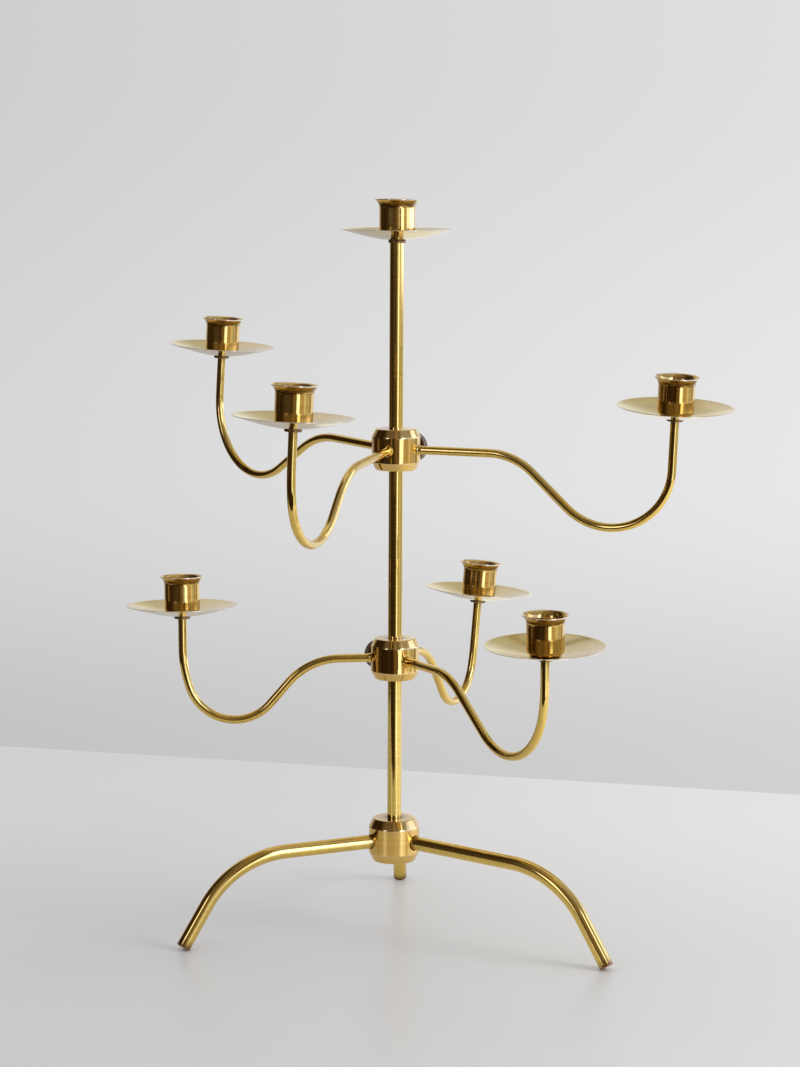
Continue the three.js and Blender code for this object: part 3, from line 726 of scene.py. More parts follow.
def metal(name, colour_rgb, roughness, finish, specks, lacquer, rings=0.0, tone=0.10):
    """A metal: base colour, edge wear with painted highlight, corner tarnish with painted shade, smudges,
    scratches, lathe rings and clear lacquer.

    The colour is darkened where the mesh's tarnish values are, by tarnish and painted shade, and lightened
    where its wear values are, by wear and painted highlight. Roughness grows with smudges and the tarnish
    mask.
    """
    made = bpy.data.materials.get(name)
    if made:
        return made
    made = bpy.data.materials.new(name)
    tree = empty_tree(made)
    own = node(tree, "ShaderNodeAttribute", attribute_name="own_place").outputs["Vector"]
    wear_and_highlight = node(tree, "ShaderNodeAttribute", attribute_name="wear_and_highlight").outputs["Fac"]
    deposit_and_shade = node(tree, "ShaderNodeAttribute", attribute_name="deposit_and_shade").outputs["Fac"]
    place = node(tree, "ShaderNodeTexCoord").outputs["Object"]
    marks = use_group(tree, "Handling marks", handling_group, {"Place": place})
    dark = use_group(tree, "Tarnish and shade", tarnish_and_shade_group, {"Place": place, "Deposit and Shade": deposit_and_shade, "Specks": specks})
    lathe = use_group(tree, "Lathe rings", lathe_group, {"Place": own})
    # Edges lighten to a pale colour for wear and painted highlight; corners darken for tarnish and painted
    # shade
    worn_and_highlight_colour = opaque(0.35 * c + 0.65 * w for c, w in zip(colour_rgb, finish.worn_and_highlight))
    tinted = mixed(tree, eased(tree, lathe["Tone"], 0.35, 0.65), opaque(colour_rgb),
                   opaque(colour_rgb, 1 - tone))
    stained_and_shaded = mixed(tree, dark["Mask"], mixed(tree, wear_and_highlight, tinted, worn_and_highlight_colour), opaque(finish.tarnish_and_shade_colour))
    rough = maths(tree, "MULTIPLY_ADD", marks["Smudge"], finish.smudges, roughness)
    rough = maths(tree, "MULTIPLY_ADD", dark["Mask"], 0.12, rough)
    height = maths(tree, "ADD", maths(tree, "MULTIPLY", marks["Scratch"], finish.scratches),
                   maths(tree, "MULTIPLY", lathe["Height"], rings))
    bump = node(tree, "ShaderNodeBump", {"Strength": 0.35, "Distance": 0.00004, "Height": height})
    shader = node(tree, "ShaderNodeBsdfPrincipled",
                  {"Base Color": stained_and_shaded, "Metallic": 1.0, "Roughness": rough,
                   "Coat Weight": lacquer, "Coat Roughness": 0.08, "Normal": bump.outputs["Normal"]})
    node(tree, "ShaderNodeOutputMaterial", {"Surface": shader.outputs[0]})
    return made


def polished_brass(finish):
    return metal("Polished brass", finish.bar_brass, finish.polish, finish, specks=0.15, lacquer=0.25)


def turned_brass(finish):
    return metal("Turned brass", finish.brass, finish.polish * 0.8, finish, specks=0.25, lacquer=0.15,
                 rings=0.30)


def drawn_brass(finish):
    return metal("Drawn brass", finish.brass, finish.polish * 1.3, finish, specks=0.4, lacquer=0.15,
                 rings=0.15)


def spun_brass(finish):
    return metal("Spun brass", finish.pan_brass, finish.polish * 2.1, finish, specks=1.0, lacquer=0.5,
                 rings=0.5, tone=0.08)


def dark_brass(finish):
    return metal("Darkened brass", finish.dark_brass, 0.33, finish, specks=0.9, lacquer=0.0, rings=0.3,
                 tone=0.25)


def foot_copper(finish):
    return metal("Coppery brass", finish.copper, 0.30, finish, specks=0.9, lacquer=0.0, rings=0.2,
                 tone=0.25)


def screw_steel(finish):
    return metal("Screw steel", finish.steel, 0.30, finish, specks=0.6, lacquer=0.0, rings=0.3)


# Operators, one for each group of like pieces

class CandelabraOperator:
    """What all operators share."""

    bl_options = {"REGISTER", "UNDO"}

    def settings(self, context):
        return context.scene.candelabra_sizes, context.scene.candelabra_finish


class CANDELABRA_OT_rod(CandelabraOperator, bpy.types.Operator):
    """Make the centre rod, and finish the plugs inside its ends"""

    bl_idname = "candelabra.rod"
    bl_label = "Centre Rod"

    def execute(self, context):
        sizes, finish = self.settings(context)
        outer = sizes.rod_radius
        inner = outer - sizes.rod_wall
        low, top = sizes.rod_bottom, sizes.rod_top
        end = 0.001
        heights = np.linspace(low + end, top - end, 60)
        line = np.vstack([
            rounded([(inner, top - end, 0), (inner, low, 0.0001), (outer, low, 0.0002),
                     (outer, low + end, 0)]),
            wall_line(outer, heights[1:-1]),
            rounded([(outer, top - end, 0), (outer, top, 0.0003), (inner, top, 0.0001),
                     (inner, top - end, 0)])])
        make_piece("rod", [turned(full_turn(96), line)], rod_place(), "stand", ["centre_rod"],
                   polished_brass(finish))
        for name in ("rod_top_plug", "rod_bottom_plug"):
            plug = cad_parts[name]
            plug.data.materials.clear()
            plug.data.materials.append(turned_brass(finish))
        return {"FINISHED"}


class CANDELABRA_OT_base_hub(CandelabraOperator, bpy.types.Operator):
    """Make the hub on the legs, and the screw from below that holds the rod in it"""

    bl_idname = "candelabra.base_hub"
    bl_label = "Base Hub"

    def execute(self, context):
        sizes, finish = self.settings(context)
        top = sizes.base_hub_height / 2
        seat = sizes.rod_radius + SEAT_GAP
        recess = BASE_SCREW["head"] + SEAT_GAP
        recess_top = BASE_SCREW["height"] + 2 * SEAT_GAP - top
        hole = BASE_SCREW["shank"] + SEAT_GAP
        floor = recess_top + sizes.base_hub_floor
        insides = ([(recess, -top, 0.0002), (recess, recess_top, 0.0002), (hole, recess_top, 0.0002),
                    (hole, floor, 0)],
                   [(seat, top, 0.0003), (seat, floor, 0), (hole, floor, 0)])
        # Each leg's socket has an eased edge, and ends flat
        socket = sizes.leg_radius + SEAT_GAP
        end = sizes.base_hub_radius - LEG_SOCKET
        rims = [(socket + 0.0004, 0.0, None), (socket + 0.00015, 0.00008, None),
                (socket, 0.0003, None), (socket, 0.0015, None), (socket, 0.0, end), (0.0, 0.0, end)]
        bores = [(leg["azimuth"], rims) for leg in LEGS.values()]
        hub = turned_hub(sizes, sizes.base_hub_radius, sizes.base_hub_height, sizes.base_hub_face,
                         sizes.base_hub_chamfer, insides, bores, middle=-sizes.leg_drop, half=0.0072,
                         dark_ring=0.0012, dark=1.0)
        make_piece("hub_on_legs", hub, rod_place(BASE_HUB_HEIGHT), "stand", ["base_hub"],
                   turned_brass(finish))
        place = rod_place(BASE_HUB_HEIGHT + recess_top - SEAT_GAP) @ turned_to(180, "X")
        make_piece("screw_under_base", [slotted_screw(0.0, BASE_SCREW)], place, "stand",
                   ["base_screw"], screw_steel(finish))
        return {"FINISHED"}


class CANDELABRA_OT_legs(CandelabraOperator, bpy.types.Operator):
    """Make the three bent legs and the plugs in their feet"""

    bl_idname = "candelabra.legs"
    bl_label = "Legs and Feet"

    def execute(self, context):
        sizes, finish = self.settings(context)
        radius = sizes.leg_radius
        bore = radius - sizes.leg_wall
        spigot = bore - SEAT_GAP
        shoulder = LEG_SOCKET + SEAT_GAP
        end = shoulder + PLUG_HEAD
        plug = rounded([(0, 0, 0), (spigot, 0, 0.0002), (spigot, shoulder, 0), (radius, shoulder, 0.0002),
                        (radius, end, 0.0006), (radius - 0.0012, end, 0), (0, end, 0)], steps=6)
        for name, leg in LEGS.items():
            path = leg_path(leg, sizes)
            total = path.total
            along = path.stations(2 * BAR_EDGE, total - 2 * BAR_EDGE)
            line = np.vstack([
                [(bore, 0.0), (radius - BAR_EDGE, 0.0), (radius, BAR_EDGE)], wall_line(radius, along),
                cut_end(radius, total), [(bore, total)], wall_line(bore, along[::-1]), [(bore, 0.0)]])
            distance = line[:, 1]
            # Painted shade: dark inside, where the leg leaves its hub, and at the foot
            deposit_and_shade = np.where(line[:, 0] > bore + 1e-5,
                            faded(np.abs(distance - LEG_SOCKET + SEAT_GAP), 0.0012), 1.0)
            deposit_and_shade = np.maximum(deposit_and_shade, np.where(distance > total - 0.0004, 0.8, 0.0))
            place = rod_place() @ turned_to(leg["azimuth"])
            make_piece(f"bent_leg_{name}", [carried(path, line, 56, deposit_and_shade)], place, "stand",
                       [f"leg_{name}"], polished_brass(finish))
            dive = math.radians(leg["dive"])
            end_x, end_z = path.starts[-1]
            ahead = BentPath(end_x - LEG_SOCKET * math.cos(dive), end_z + LEG_SOCKET * math.sin(dive), -dive)
            foot = carried(ahead.straight(end), plug, 48, np.full(len(plug), 0.25))
            foot[..., 2] = np.maximum(foot[..., 2], 0.0)
            make_piece(f"foot_{name}", [foot], place, "stand", [f"foot_plug_{name}"],
                       foot_copper(finish))
        return {"FINISHED"}


def leg_path(leg, sizes):
    """The path of one leg in its own plane, up to where its plug's head begins."""
    dive = math.radians(leg["dive"])
    root = sizes.base_hub_radius - LEG_SOCKET + SEAT_GAP
    filed = 0.0006
    face = sizes.leg_radius * math.cos(dive) - filed
    plug = PLUG_HEAD + SEAT_GAP
    path = BentPath(root, BASE_HUB_HEIGHT - sizes.leg_drop, 0.0)
    path.straight(sizes.base_hub_radius + SEAT_GAP - root).bend(sizes.leg_root_bend, math.radians(-2.2))
    return path.reach_to(leg["reach"] - plug * math.cos(dive), face + plug * math.sin(dive),
                         sizes.leg_bend, -dive)


class CANDELABRA_OT_tier_hubs(CandelabraOperator, bpy.types.Operator):
    """Make the two hubs that carry the arms, each with the split sleeve inside it"""

    bl_idname = "candelabra.tier_hubs"
    bl_label = "Tier Hubs"

    def execute(self, context):
        sizes, finish = self.settings(context)
        top = sizes.tier_hub_height / 2
        inner = sizes.rod_radius + SLIDE_GAP
        outer = inner + sizes.sleeve_wall
        bore = outer + SLIDE_GAP
        stop = top - sizes.hub_lid
        insides = ([(bore, -top, 0.0003), (bore, stop, 0)],
                   [(inner, top, 0.0003), (inner, stop, 0.0001), (bore, stop, 0)])
        # A shallow dish round each arm's socket, whose depth follows a quarter of a sine wave
        socket = sizes.arm_radius + SEAT_GAP
        dish = sizes.arm_dish
        hollow = dish - 0.0001
        end = sizes.tier_hub_radius - sizes.arm_socket
        arm_rims = [(dish + 0.00012, 0.0, None), (dish, 0.00004, None), (hollow, 0.00012, None)]
        arm_rims += [(hollow - (hollow - socket) * d, 0.0003 * math.sin(d * math.pi / 2), None)
                     for d in np.linspace(0.25, 1.0, 4)]
        arm_rims += [(socket, 0.0030, None), (socket, 0.0, end), (0.0, 0.0, end)]
        # The thumbscrew's hole has an eased edge, and ends just short of the sleeve's bore
        hole = THUMB_SHANK + SEAT_GAP
        hole_end = bore + 0.0002
        thumb_rims = [(hole + 0.0003, 0.0, None), (hole, 0.0003, None), (hole, 0.0, hole_end),
                      (0.0, 0.0, hole_end)]
        # The sleeve stands a little inside the hub, and its slit faces away from the thumbscrew
        sleeve_low = 0.0008 - top
        ring = np.array([(inner, sleeve_low), (outer, sleeve_low), (outer, stop - SEAT_GAP),
                         (inner, stop - SEAT_GAP), (inner, sleeve_low)])
        slit = math.asin(0.0008 / inner)
        for tier, at in TIERS.items():
            bores = [(arm["azimuth"], arm_rims) for name, arm in ARMS.items() if tier_of(name) == tier]
            bores.append((at["thumb"], thumb_rims))
            hub = turned_hub(sizes, sizes.tier_hub_radius, sizes.tier_hub_height, sizes.tier_hub_face,
                             sizes.tier_hub_chamfer, insides, bores, middle=0.0, half=0.0068,
                             dark_ring=0.0008, dark=0.9)
            make_piece(f"hub_{tier}", hub, rod_place(at["height"]), f"{tier}_tier",
                       [f"{tier}_hub"], turned_brass(finish))
            begin = math.radians(at["thumb"] + 180)
            sleeve = turned(np.linspace(begin + slit, begin + 2 * math.pi - slit, 73), ring)
            # The slit's two faces, each from an edge line of the sleeve to its middle
            faces = []
            for column, way in ((0, 1), (-1, -1)):
                edge_line = sleeve[:, [column]]
                centre = np.repeat(edge_line[:4].mean(0, keepdims=True), len(edge_line), axis=0)
                faces.append(np.concatenate([edge_line, centre], 1)[:, ::way])
            make_piece(f"split_sleeve_{tier}", [sleeve] + faces, rod_place(at["height"]),
                       f"{tier}_slider", [f"{tier}_sleeve"], turned_brass(finish))
        return {"FINISHED"}


class CANDELABRA_OT_thumbscrews(CandelabraOperator, bpy.types.Operator):
    """Make the knurled thumbscrew behind each tier hub"""

    bl_idname = "candelabra.thumbscrews"
    bl_label = "Thumbscrews"

    def execute(self, context):
        sizes, finish = self.settings(context)
        radius = sizes.thumb_radius
        tip = sizes.rod_radius + SLIDE_GAP + sizes.sleeve_wall + SEAT_GAP
        neck = sizes.tier_hub_radius + SEAT_GAP
        under = neck + THUMB_NECK_LENGTH
        front = under + sizes.thumb_thickness
        # The head's face is dished inside its rim
        rim_width, dished = 0.0026, 0.0003
        line = rounded([
            (0, tip, 0), (0.6 * THUMB_SHANK, tip, 0.0003), (THUMB_SHANK, tip + 0.5 * THUMB_SHANK, 0.0003),
            (THUMB_SHANK, neck, 0.0001), (THUMB_NECK, neck, 0.0002), (THUMB_NECK, under, 0.0002),
            (radius - 0.0008, under, 0.0002), (radius, under + 0.0006, 0.0002),
            (radius, front - 0.0008, 0.0003), (radius - 0.0010, front, 0.0003),
            (radius - rim_width, front, 0.0002), (radius - rim_width - 0.0004, front - dished, 0.0002),
            (0, front - dished, 0)])
        # Ridges on the rim, which grow from its chamfers, with grooves darkened by painted shade and worn
        # tops
        inside_rim = radius - 0.0009
        rim = (line[:, 0] > inside_rim) & (line[:, 1] > under)
        depth = np.where(rim, sizes.thumb_ridge, 0.0) * np.clip((line[:, 0] - inside_rim) / 5e-4, 0, 1)
        ridges = sizes.thumb_ridges
        screw = turned(full_turn(ridges * 8), line, deposit_and_shade=np.where(rim, 0.35, 0.1), ridges=(ridges, depth))
        groove = (radius - np.hypot(screw[..., 0], screw[..., 1])) / sizes.thumb_ridge
        screw[rim, :, DEPOSIT_AND_SHADE] = np.clip(groove[rim] * 1.3, 0.0, 1.0)
        screw[..., WEAR_AND_HIGHLIGHT] = np.where(rim[:, None] & (groove < 0.25), 0.5, 0.0)
        for tier, at in TIERS.items():
            place = rod_place(at["height"]) @ turned_to(at["thumb"]) @ turned_to(90, "Y")
            make_piece(f"knurled_screw_{tier}", [screw], place, f"{tier}_screw",
                       [f"{tier}_thumbscrew"], dark_brass(finish))
        return {"FINISHED"}


class CANDELABRA_OT_arms(CandelabraOperator, bpy.types.Operator):
    """Make the six S-bent arms"""

    bl_idname = "candelabra.arms"
    bl_label = "Arms"

    def execute(self, context):
        sizes, finish = self.settings(context)
        radius = sizes.arm_radius
        # A hollow flare from the hub's wall onto the arm: a quarter circle, squashed to its own size
        flare_start = sizes.arm_socket - SEAT_GAP - 0.00025
        flare_end = flare_start + sizes.arm_flare_length
        darkest = sizes.arm_socket - 0.001
        t = np.linspace(0.0, 1.0, 10)
        flare = np.stack([radius + sizes.arm_flare * (1 - np.sqrt(1 - (1 - t) ** 2)),
                          flare_start + sizes.arm_flare_length * t], -1)
        for name, arm in ARMS.items():
            path = arm_path(arm, sizes)
            total = path.total
            bore_end = total - ARM_BORE_DEPTH
            along = path.stations(flare_end + BAR_EDGE, total - 2 * BAR_EDGE)
            line = np.vstack([
                [(0.0, 0.0), (radius - BAR_EDGE, 0.0), (radius, BAR_EDGE), (radius, flare_start - 0.0001)],
                flare, wall_line(radius, along), cut_end(radius, total),
                [(LIGHT_HOLE, total), (LIGHT_HOLE, bore_end), (0.0, bore_end)]])
            distance = line[:, 1]
            # Painted shade: dark in the hub, fading along the flare, and at the end under the collar
            deposit_and_shade = np.where(line[:, 0] > LIGHT_HOLE + 1e-5,
                            0.5 * faded(np.abs(distance - darkest), 0.0006), 0.5)
            deposit_and_shade = np.maximum(deposit_and_shade, 0.8 * faded(total - distance, 0.0008))
            make_piece(f"bent_arm_{name}", [carried(path, line, 40, deposit_and_shade)], arm_place(name),
                       f"{tier_of(name)}_tier", [f"arm_{name}"], polished_brass(finish))
        return {"FINISHED"}


def arm_path(arm, sizes):
    """The path of one arm in its own plane: X outward from the rod's axis, Z up from the hub's centre."""
    root = sizes.tier_hub_radius - sizes.arm_socket + SEAT_GAP
    path = BentPath(root, 0.0, 0.0).straight(sizes.tier_hub_radius + SEAT_GAP - root)
    path.bend(sizes.arm_root_bend, math.radians(arm["lift"])).straight(arm["straight"])
    path.bend(arm["hump"], -math.radians(arm["dive"]))
    # The slope and the last upright take up what the bends leave of reach and rise
    return path.reach_to(arm["reach"], arm["rise"], arm["bend"], math.radians(90 - arm["lean"]),
                         sizes.arm_ease, math.radians(arm["ease"]))


class CANDELABRA_OT_lights(CandelabraOperator, bpy.types.Operator):
    """Make the seven lights: collar ring, drip pan, candle cup and the screw that holds them"""

    bl_idname = "candelabra.lights"
    bl_label = "Collars, Pans and Cups"

    def execute(self, context):
        sizes, finish = self.settings(context)
        low, top = SEAT_GAP, SEAT_GAP + sizes.collar_thickness
        skirt = -sizes.collar_skirt
        pan_low = top + SEAT_GAP
        cup_low = pan_low + sizes.pan_thickness + SEAT_GAP
        pan = turned(full_turn(160), *pan_line(sizes, pan_low))
        cup = turned(full_turn(96), *cup_line(sizes, cup_low))
        screw = slotted_screw(cup_low + sizes.cup_floor + SEAT_GAP, CUP_SCREW)
        for name, place, body, stem_radius, collar_radius in light_places(sizes):
            stem = stem_radius + 0.00012
            ring = rounded([(LIGHT_HOLE, top, 0), (LIGHT_HOLE, low, 0), (stem, low, 0),
                            (stem, skirt, 0.0001), (collar_radius, skirt, 0.0003),
                            (collar_radius, top, 0.0003), (LIGHT_HOLE, top, 0)])
            collar = turned(full_turn(72), ring, deposit_and_shade=np.full(len(ring), 0.3))
            for piece, shape, node_name, slot, material in (
                    ("ring", collar, "collar", "dark_brass", dark_brass),
                    ("pan", pan, "drip_pan", "pan_brass", spun_brass),
                    ("cup", cup, "candle_cup", "polished_brass", drawn_brass),
                    ("screw", screw, "cup_screw", "screw_steel", screw_steel)):
                make_piece(f"{piece}_{name}", [shape], place, body, [f"{node_name}_{name}"],
                           material(finish))
        return {"FINISHED"}


def light_places(sizes):
    """Name, place, body, stem radius and collar radius of each of the seven lights."""
    places = [("top", rod_place(sizes.rod_top), "stand", sizes.rod_radius, sizes.rod_collar)]
    for name, arm in ARMS.items():
        place = (arm_place(name) @ Matrix.Translation((arm["reach"], 0.0, arm["rise"]))
                 @ turned_to(arm["lean"], "Y"))
        places.append((name, place, f"{tier_of(name)}_tier", sizes.arm_radius, sizes.arm_collar))
    return places


def pan_line(sizes, low):
    """Profile of the pan, with the wear of its rim and its painted shade round the cup's foot.

    The underside's height is depth * ((r - flat) / (R - flat)) ** 1.3, eased to a flatter lip over the
    last part, and the top follows it at a thickness that falls from the middle to the rim.
    """
    edge = sizes.pan_radius - sizes.pan_rim / 2
    radius = np.r_[LIGHT_HOLE, np.linspace(0.004, sizes.pan_flat, 4),
                   np.linspace(sizes.pan_flat, edge, 44)[1:]]
    rise = np.clip((radius - sizes.pan_flat) / (sizes.pan_radius - sizes.pan_flat), 0, None)
    lip = np.clip((radius - (sizes.pan_radius - sizes.pan_lip)) / sizes.pan_lip, 0, 1)
    lip_drop = 0.11 * sizes.pan_lip
    under = low + sizes.pan_depth * rise ** 1.3 - lip_drop * lip ** 2
    over = under + sizes.pan_thickness + (sizes.pan_rim - sizes.pan_thickness) * np.clip(rise, 0, 1) ** 0.5
    turn = np.linspace(-math.pi / 2, math.pi / 2, 7)[1:-1]
    nose = np.stack([edge + sizes.pan_rim / 2 * np.cos(turn),
                     (under[-1] + over[-1]) / 2 + sizes.pan_rim / 2 * np.sin(turn)], -1)
    line = np.vstack([np.stack([radius, under], -1), nose, np.stack([radius, over], -1)[::-1],
                      [(radius[0], under[0])]])
    wear_and_highlight = np.zeros(len(line))
    wear_and_highlight[len(radius) - 1:len(radius) + len(nose) + 1] = 0.8
    # Painted shade: dark round the cup's foot, fading outwards
    foot = sizes.cup_radius - sizes.cup_corner + 0.0003
    return line, wear_and_highlight, 0.4 * faded(line[:, 0] - foot, 0.0012)


def cup_line(sizes, low):
    """Profile of the cup, with its lip lightened by wear and painted highlight, and its painted shade:
    outside from the floor's hole up to the lip, a round lip, and the inside back down at the wall's
    thickness, measured square to the outside."""
    radius, corner = sizes.cup_radius, sizes.cup_corner
    floor = low + sizes.cup_floor
    turn = np.radians(np.linspace(0, 90, 11))
    bottom = np.stack([radius - corner * (1 - np.sin(turn)), low + corner * (1 - np.cos(turn))], -1)
    # The flare is an arc of 62 degrees, stretched to its width and height, less what the round lip adds
    flare_end = math.radians(62)
    flare_turn = np.linspace(0, flare_end, 15)
    flare_low = low + sizes.cup_height - sizes.cup_flare_height
    flare_width = sizes.cup_flare - 0.0002
    flare_height = sizes.cup_flare_height - 0.93 * sizes.cup_wall
    flare = np.stack([radius + flare_width * (1 - np.cos(flare_turn)) / (1 - math.cos(flare_end)),
                      flare_low + flare_height * np.sin(flare_turn) / math.sin(flare_end)], -1)
    outside = np.vstack([bottom, wall_line(radius, np.linspace(low + corner, flare_low, 14)[1:-1]), flare])
    step = np.gradient(outside, axis=0)
    square = np.stack([-step[:, 1], step[:, 0]], -1)
    square /= np.linalg.norm(square, axis=1, keepdims=True)
    inside = outside + square * sizes.cup_wall
    inside = inside[inside[:, 1] > floor + 0.0006]
    middle = (outside[-1] + inside[-1]) / 2
    x, z = outside[-1] - middle
    spin = np.linspace(0, math.pi, 8)[1:-1]
    nose = middle + np.stack([x * np.cos(spin) - z * np.sin(spin), x * np.sin(spin) + z * np.cos(spin)], -1)
    inner_floor = np.stack([np.linspace(inside[0, 0] - 0.0006, LIGHT_HOLE, 6), np.full(6, floor)], -1)
    line = np.vstack([[(LIGHT_HOLE, low)], outside, nose, inside[::-1], inner_floor, [(LIGHT_HOLE, low)]])
    lip_start = 1 + len(outside)
    lip_end = lip_start + len(nose)
    # The lip is lightened: wear, and a painted highlight
    wear_and_highlight = np.zeros(len(line))
    wear_and_highlight[lip_start - 2:lip_end + 2] = 1.0
    height = line[:, 1]
    # Painted shade at the cup's foot
    deposit_and_shade = 0.3 * faded(height - low, 0.0005)
    # A dark brown band under the lip: painted shade on the flare, which faces down towards the pan
    up = np.clip((height - flare_low) / (sizes.cup_flare_height - sizes.cup_wall), 0.0, 1.0)
    deposit_and_shade = np.maximum(deposit_and_shade, 0.85 * np.sin(math.pi * up) ** 0.8)
    # Painted shade inside the cup, darker towards its floor
    inner = np.arange(len(line)) > lip_end
    return line, wear_and_highlight, np.where(inner, 0.35 * faded(height - floor, 0.010) + 0.08, deposit_and_shade)


# The stage

# What the metal mirrors. Directions are in degrees: azimuth right of the camera, and elevation. Each lit
# part is (azimuth, width, lowest and highest elevation, softness, colour).
ROOM_LIGHTS = {
    "sunlit floor on the right": (52.0, 44.0, -24.0, 3.0, 6.0, (0.48, 0.43, 0.36)),
    "floor further back": (104.0, 62.0, -24.0, 0.0, 8.0, (0.22, 0.19, 0.13)),
    "narrow window": (38.0, 20.0, 4.0, 28.0, 3.0, (1.60, 1.95, 3.70)),
    "wide window": (68.0, 42.0, 2.0, 32.0, 4.0, (0.72, 0.86, 1.80)),
    "side window": (105.0, 34.0, -2.4, 33.0, 2.5, (1.20, 1.40, 2.50)),
    "wall above the windows": (84.0, 112.0, 24.0, 90.0, 26.0, (0.34, 0.37, 0.52)),
    "window sill": (97.0, 66.0, -2.6, 1.5, 1.6, (1.30, 1.60, 3.20)),
    "wall under the windows": (84.0, 44.0, -20.0, -3.0, 3.0, (0.26, 0.34, 0.46)),
    "small window in front": (13.0, 6.0, -4.0, 10.0, 2.0, (0.80, 0.85, 1.20)),
    "window on the left": (-42.0, 14.0, 2.0, 28.0, 3.0, (1.70, 1.80, 2.80)),
    "back corner": (136.0, 40.0, -30.0, 16.0, 8.0, (0.18, 0.26, 0.55)),
    "upright glow in front": (3.0, 16.0, -24.0, 62.0, 12.0, (0.13, 0.09, 0.04)),
    "wall in front": (-14.0, 96.0, 0.0, 90.0, 26.0, (0.12, 0.11, 0.11)),
    "low glow on the left": (-92.0, 14.0, -12.0, -5.0, 4.0, (0.16, 0.13, 0.09)),
}
# A doorway, which stands further right where it is seen from higher up
DOORWAY = (24.0, 17.0, -24.0, 40.0, 4.0, (1.60, 2.00, 3.20))
DOORWAY_SHIFT = 11.0
ROOM_DARK = (0.018, 0.008, 0.003)
ROOM_STREAKS = (0.075, 0.055, 0.035)

# The table top's edges from the rod, its thickness and its turn. Its back edge crosses behind the rod.
TABLE_FRONT, TABLE_BACK, TABLE_LEFT, TABLE_RIGHT = -0.50, 0.523, -0.85, 1.0
TABLE_THICKNESS = 0.03
TABLE_TURN = -14.7

# The window's light: a round lamp, its place from the foot of the rod, and the place that it aims at
LAMP_PLACE = (1.75, -0.75, 1.15)
LAMP_SIZE = 1.1
LAMP_AIM = (0.0, 0.0, 0.15)

# The camera's sensor in millimetres, and the picture in pixels
SENSOR_WIDTH = 36.0
PICTURE_WIDTH = 800.0


def look_matrix(place, pitch, yaw, roll):
    """A camera's matrix from its place and its angles in degrees. It looks along +Y, then yaw turns it
    right, pitch down, and roll tilts the picture."""
    p, w, r = (math.radians(angle) for angle in (pitch, yaw, roll))
    ahead = Vector((math.sin(w) * math.cos(p), math.cos(w) * math.cos(p), -math.sin(p)))
    right = Vector((math.cos(w), -math.sin(w), 0.0))
    up = right.cross(ahead)
    right, up = right * math.cos(r) + up * math.sin(r), up * math.cos(r) - right * math.sin(r)
    turn = Matrix((right, up, -ahead)).transposed().to_4x4()
    return Matrix.Translation(place) @ turn


def added(tree, mask, light, rest):
    """A light's colour times its mask, on top of the rest."""
    return node(tree, "ShaderNodeVectorMath", {0: mask, 1: light, 2: rest},
                operation="MULTIPLY_ADD").outputs[0]


def lit_part(tree, azimuth, elevation, part, rest):
    """The light of one part of the room, inside its soft edges, on top of the rest."""
    middle, width, low, high, soft, light = part
    off = maths(tree, "ABSOLUTE", maths(tree, "SUBTRACT", azimuth, middle))
    across = eased(tree, off, width / 2 - soft / 2, width / 2 + soft / 2, 1.0, 0.0)
    above = eased(tree, elevation, low - soft / 2, low + soft / 2)
    below = eased(tree, elevation, high - soft / 2, high + soft / 2, 1.0, 0.0)
    return added(tree, maths(tree, "MULTIPLY", across, maths(tree, "MULTIPLY", above, below)), light, rest)


